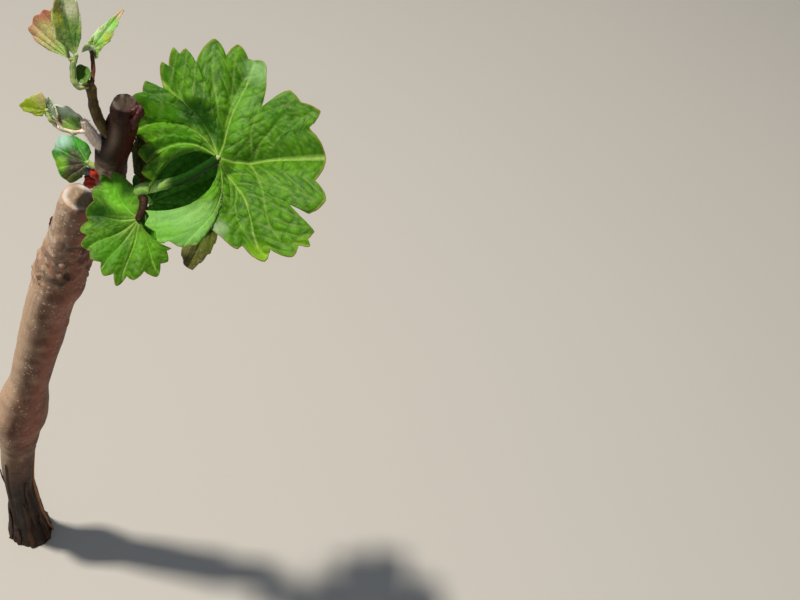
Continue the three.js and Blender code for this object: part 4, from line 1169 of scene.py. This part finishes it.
def surfaceDetail(leaf, angle, shown, reach, share):
    # grooves along the side veins and blisters between them; returns height, vein and puff shares
    across, along = 99.0, 0.0
    for vein in leaf["veins"][1:-1]:
        turn = radians(angle - veinAngle(vein, share))
        if abs(turn) < pi / 2 and abs(reach * sin(turn)) < abs(across):
            across, along = reach * sin(turn), reach * cos(turn)
    width = leaf["veinWidth"] * (1.15 - 0.8 * share)
    main = exp(-(across / width) ** 2)
    spacing = leaf["sideVeins"]
    phase = (along - abs(across) * sideVeinSlant) / spacing + (0.5 if across < 0 else 0)
    nearest = abs(phase - floor(phase + 0.5)) * spacing * 0.74
    away = smooth(abs(across), 0.2, 1.4) * smooth(phase, 0.2, 0.8)
    side = exp(-(nearest / 0.2) ** 2) * away
    groove = exp(-(nearest / 0.45) ** 2) * away
    x, y = reach * cos(radians(angle)), reach * sin(radians(angle))
    creased = drawn = 0.0
    for depth, half, *path in leaf["creases"]:
        distance, part = toPath(x, y, path)
        creased += depth * creaseShape(distance, half) * smooth(reach, 0.5, 4) * (1 - 0.45 * share ** 4)
        if depth > 0:
            drawn = max(drawn, exp(-(distance / 0.2) ** 2) * (1 - 0.5 * part))
    seenX, seenY = reach * cos(radians(shown)), reach * sin(radians(shown))
    spot = Vector((seenX, seenY, leaf["heading"])) / leaf["blisterSize"]
    warp = noise.noise_vector(spot * 0.7) * 0.35
    distances = noise.voronoi(spot + warp)[0]
    puff = 1 - exp(-3.2 * (distances[1] - distances[0]))
    small = noise.voronoi(spot * 2.3 + warp)[0]
    crumb = 1 - exp(-3 * (small[1] - small[0]))
    blister = leaf["blister"] * (1 - 0.75 * calmAt(leaf, x, y))
    strength = blister * smooth(share, 0.04, 0.3) * (0.75 + 0.5 * noise.noise(spot * 0.25))
    height = strength * (puff - 0.45) + 0.3 * strength * (crumb - 0.45)
    height -= (0.35 * groove + 0.5 * main) * blister
    height -= creased
    height -= leaf["curl"] * share ** 7
    height += 0.12 * leaf["curl"] * sin(radians(angle) * 23) * share ** 5
    return height, clamp(max(0.8 * main, 0.3 * side, 0.5 * drawn)), clamp(puff * (1 - 0.6 * groove))


def tintAndPaintedLightAt(leaf, x, y):
    # the colour that the blade takes on at a place, its own tints and painted light and shade together, with
    # how strong it is
    colour, strength = (0, 0, 0), 0
    for angle, reach, size, hue, full in leaf["tintsAndPaintedLight"]:
        share = full * (1 - smooth(awayFrom(angle, reach, x, y), size * 0.3, size * 1.1))
        share *= clamp(1 + 0.5 * noise.noise(Vector((x, y, angle)) / 1.2))
        if share > 0:
            colour = [a * (1 - share) * strength + b * share for a, b in zip(colour, tone(hue))]
            strength = strength * (1 - share) + share
            colour = [c / strength for c in colour]
    return (*colour, strength)


def bladeMesh(leaf):
    # a grid from the hub to the margin, opened at the stalk, folded along the midrib, arched and turned
    margin = marginOf(leaf)
    gaps = len(margin) - 1
    columns = gaps * leaf["columns"]
    midrib = max(tip[1] for tip in leaf["tips"])
    turn = Euler((radians(leaf["bank"]), radians(-leaf["rise"]), radians(leaf["heading"])), "XYZ").to_matrix()
    hub = Vector(leaf["hub"])
    bm = bmesh.new()
    bmesh.ops.create_grid(bm, x_segments=columns, y_segments=leaf["rows"], size=0.5)
    veinLayer, puffLayer, edgeLayer = (bm.verts.layers.float.new(n) for n in ("vein", "puff", "edge"))
    tintAndPaintedLightLayer = bm.verts.layers.float_color.new("tintAndPaintedLight")
    flat = {}
    for vert in bm.verts:
        column = round((0.5 - vert.co.x) * columns)
        share = vert.co.y + 0.5
        gap = min(column // leaf["columns"], gaps - 1)
        angle, edge, lift = marginPoint(margin, gap, column / leaf["columns"] - gap)
        reach = leaf["hubRadius"] + share * (edge - leaf["hubRadius"])
        last = leaf["tips"][0 if angle < 0 else -1][0]
        spread = clamp((abs(angle) - openFrom) / max(abs(last) - openFrom, 1))
        opened = leaf["gape"] * (1 - share) * spread
        shown = angle - (opened if angle > 0 else -opened)
        detail, vert[veinLayer], vert[puffLayer] = surfaceDetail(leaf, angle, shown, reach, share)
        vert[edgeLayer] = share
        vert[tintAndPaintedLightLayer] = tintAndPaintedLightAt(leaf, reach * cos(radians(angle)), reach * sin(radians(angle)))
        height = lift * share * share + pleat(leaf, angle, share) * reach + detail
        across, length = reach * sin(radians(shown)), reach * cos(radians(shown))
        aside, raised, tilt = bend(abs(across), radians(leaf["fold"]), leaf["foldRun"])
        y = (aside - height * sin(tilt)) * (1 if across > 0 else -1)
        raised += height * cos(tilt)
        ahead, rise, dip = bend(abs(length), radians(-leaf["arch"]), midrib)
        x = (ahead - raised * sin(dip)) * (1 if length > 0 else -1)
        flat[vert] = (length, across)
        vert.co = turn @ Vector((x, y, rise + raised * cos(dip))) + hub
    sheet = bm.loops.layers.uv.new("blade")
    for face in bm.faces:
        for loop in face.loops:
            x, y = flat[loop.vert]
            loop[sheet].uv = (x / sheetSize, y / sheetSize)
    bmesh.ops.recalc_face_normals(bm, faces=bm.faces)
    top = sum((f.normal for f in bm.faces), Vector())
    if top.dot(turn @ up) < 0:
        bmesh.ops.reverse_faces(bm, faces=bm.faces)
    return bm


def buildLeaf(leaf, tops, undersides, stems):
    name, look, node = leaf["piece"], leaf["look"], [leaf["node"]]
    piece = finishPiece(name, bladeMesh(leaf), [tops[look], undersides[look]], node)
    wall = piece.modifiers.new("thickness", "SOLIDIFY")
    wall.thickness, wall.offset = bladeThickness * mm, -1
    wall.material_offset, wall.material_offset_rim = 1, 0
    foot = Vector(leaf["stalk"][0][:3])
    # painted shade: the stalk darkens between two distances from its foot
    paint = {"far": lambda p, heading, inward: smooth((p - foot).length, *leaf["paintedShadeBetween"])}
    stalk = limbMesh(leaf["stalk"], 26, 22 * len(leaf["stalk"]), shootSkin, paint)
    hub = Vector(leaf["hub"])
    size = leaf["knob"] * leaf["knobShare"]
    knob = bmesh.ops.create_icosphere(stalk, subdivisions=3, radius=size, matrix=Matrix.Translation(hub))
    for vert in knob["verts"]:
        vert.co += (vert.co - hub) * 0.5 * noise.noise(vert.co / size)
        for face in vert.link_faces:
            face.material_index = 1
    skins = [stems[leaf["stalkLook"]], stems[leaf.get("knobLook", leaf["stalkLook"])]]
    finishPiece(name + "Stalk", stalk, skins, node)


# Wax, crumbs and down

waxFlakes = [
    # rows of the limb, share of its length, direction, radii along out, across and up in mm, wax
    ("spur", 0.43, 205, (1.6, 1.5, 1.5), "red"),
    ("spur", 0.475, 225, (1.0, 1.3, 1.1), "red"),
    ("spur", 0.405, 200, (1.4, 1.3, 1.2), "red"),
    ("spur", 0.92, 350, (1.1, 1.6, 1.7), "darkRed"),
    ("spur", 0.84, 342, (0.6, 1.0, 1.8), "darkRed"),
    ("trunk", 0.862, 186, (0.5, 0.8, 1.6), "darkRed"),
    ("trunk", 0.845, 330, (0.45, 1.4, 1.7), "darkRed"),
    ("trunk", 0.622, -4, (0.5, 0.8, 1.8), "rust"),
    ("spur", 0.465, 196, (2.6, 0.8, 0.8), "soot"),
    ("spur", 0.445, 190, (3.1, 0.8, 0.7), "soot"),
]


def buildWax(waxes):
    dice = Random(7)
    for kind, material in waxes.items():
        bm = bmesh.new()
        for limb, t, heading, size, wax in waxFlakes:
            if wax != kind:
                continue
            place, way = onLimb({"spur": spur, "trunk": trunk}[limb]["rows"], t, heading, -0.1)
            lean = way.to_track_quat("X", "Z").to_matrix().to_4x4()
            shape = Matrix.Translation(place) @ lean @ Matrix.Diagonal((*size, 1))
            made = bmesh.ops.create_icosphere(bm, subdivisions=4, radius=1, matrix=shape)["verts"]
            seed = Vector((dice.random(), dice.random(), dice.random())) * 9
            for vert in made:
                rough = noise.noise(vert.co / 1.1 + seed) * 0.5 + noise.noise(vert.co / 0.4 + seed) * 0.2
                vert.co += (vert.co - place) * rough
        finishPiece(kind + "Wax", bm, [material])
    print("wax done")


downPatches = [
    # piece, hairs, length in mm
    ("shootSide", 700, 0.6), ("leafSideUpper", 160, 0.4), ("leafSideFold", 90, 0.4), ("shootLow", 200, 0.3),
]
hairRadius = 0.035    # mm at the foot, coarser than real down, which would be too fine to show
hairStray = 0.5       # how far a hair leans its own way


def buildDown(material):
    # slim cones that stand on the skin
    dice = Random(11)
    for name, count, length in downPatches:
        skin = bpy.data.objects[name].data.vertices
        spots = [skin[dice.randrange(len(skin))] for _ in range(count)]
        bm = bmesh.new()
        for spot in spots:
            stray = Vector((dice.gauss(0, 1), dice.gauss(0, 1), dice.gauss(0, 1))) * hairStray
            aim = (spot.normal + stray).normalized()
            tall = length * dice.uniform(0.5, 1.3)
            turn = aim.to_track_quat("Z", "Y").to_matrix().to_4x4()
            shape = Matrix.Translation(spot.co / mm + aim * (tall / 2 - 0.05)) @ turn
            bmesh.ops.create_cone(bm, cap_ends=True, segments=3, radius1=hairRadius,
                                  radius2=hairRadius * 0.15, depth=tall, matrix=shape)
        finishPiece(name + "Down", bm, [material])
    print("down done")


peels = [
    # direction, start and end, width in mm, how far the top and foot stand out. Start and end are heights
    # in mm that take the trunk's rows as evenly spaced.
    (8, 1, 44, 1.3, 0.15, 0.7), (-18, 0.6, 20, 1.6, 0.3, 0.5), (-60, 0.5, 27, 1.3, 0.35, 0.4),
    (-95, 0.6, 16, 1.5, 0.4, 0.3), (-130, 0.6, 24, 1.5, 0.35, 0.3), (60, 0.6, 20, 1.4, 0.4, 0.4),
    (120, 0.6, 26, 1.2, 0.3, 0.4), (170, 0.6, 18, 1.3, 0.4, 0.4), (-40, 14, 34, 1, 0.3, 0.15),
    (-110, 18, 40, 1.2, 0.3, 0.15), (-150, 20, 36, 1.4, 0.35, 0.2),
]
peelThickness = 0.2    # mm


def buildPeels(material):
    # strips of loose fibrous bark round the foot, thin, pointed and a little curled
    bm = bmesh.new()
    sun = bm.verts.layers.float.new("sun")
    foot, top = trunk["rows"][0][2], trunk["rows"][-1][2]
    for heading, low, high, width, topOut, footOut in peels:
        made = bmesh.ops.create_grid(bm, x_segments=6, y_segments=60, size=0.5)["verts"]
        for vert in made:
            v, u = vert.co.y + 0.5, vert.co.x
            height = low + (high - low) * v
            ragged = 1 + 0.35 * noise.noise(Vector((heading, v * 7, 0)))
            slim = width * (0.12 + 0.88 * sin(pi * (0.06 + 0.88 * v))) * ragged
            sway = 4 * noise.noise(Vector((heading / 7, v * 3, 5)))
            middle, diameter = knotPoint(trunk["rows"], (height - foot) / (top - foot))
            turn = heading + sway + degrees(u * slim / (diameter / 2))
            stand = topOut * v ** 4 + footOut * (1 - v) ** 3 * 0.8 + 0.22 - 0.4 * abs(u)
            base = diameter / 2 + swelling(middle.z, turn) - hollowAt(middle.z, turn)
            vert.co = middle + wayAt(turn) * (base + stand)
            vert.co.z = max(vert.co.z, 0.2)
            vert[sun] = 1 if heading == peels[0][0] else 0
    bmesh.ops.recalc_face_normals(bm, faces=bm.faces)
    piece = finishPiece("barkPeels", bm, [material])
    wall = piece.modifiers.new("thickness", "SOLIDIFY")
    wall.thickness, wall.offset = peelThickness * mm, 0
    print("peels done")


# Build

aimCamera(camera)
hangLights()
layFloor(plainMaterial("paleFloor", ("#bcb9b3", "#c2bfb9"), 0.8, 400))
print("camera, light and floor done")

topMaterials = {name: leafMaterial(name + "Leaf", look) for name, look in leafLooks.items()}
undersideMaterials = {
    name: undersideMaterial(name + "Underside", look) for name, look in leafLooks.items()}
stemMaterials = {name: stemMaterial(name + "Stem", look) for name, look in stemLooks.items()}

buildTrunk(barkMaterial("caneBark", barkLooks["cane"]))
buildSpur(barkMaterial("spurBark", barkLooks["spurWood"]))
buildShoots(stemMaterials)
for leaf in leaves:
    buildLeaf({**plainLeaf, **leaf}, topMaterials, undersideMaterials, stemMaterials)
print("leaves done")
buildWax({
    "red": waxMaterial("redWax", "#c42c12", "#8c1a0a"),
    "darkRed": waxMaterial("darkRedWax", "#56160a", "#300c06"),
    "rust": waxMaterial("rustWax", "#b4582a", "#7a3218"),
    "soot": plainMaterial("sootCrumbs", ("#3a3a3e", "#8a8e92"), 0.85, 0.8),
})
buildDown(plainMaterial("whiteDown", ("#d8d4c4", "#eceade"), 0.8, 3))
buildPeels(barkMaterial("looseBark", barkLooks["looseBark"]))
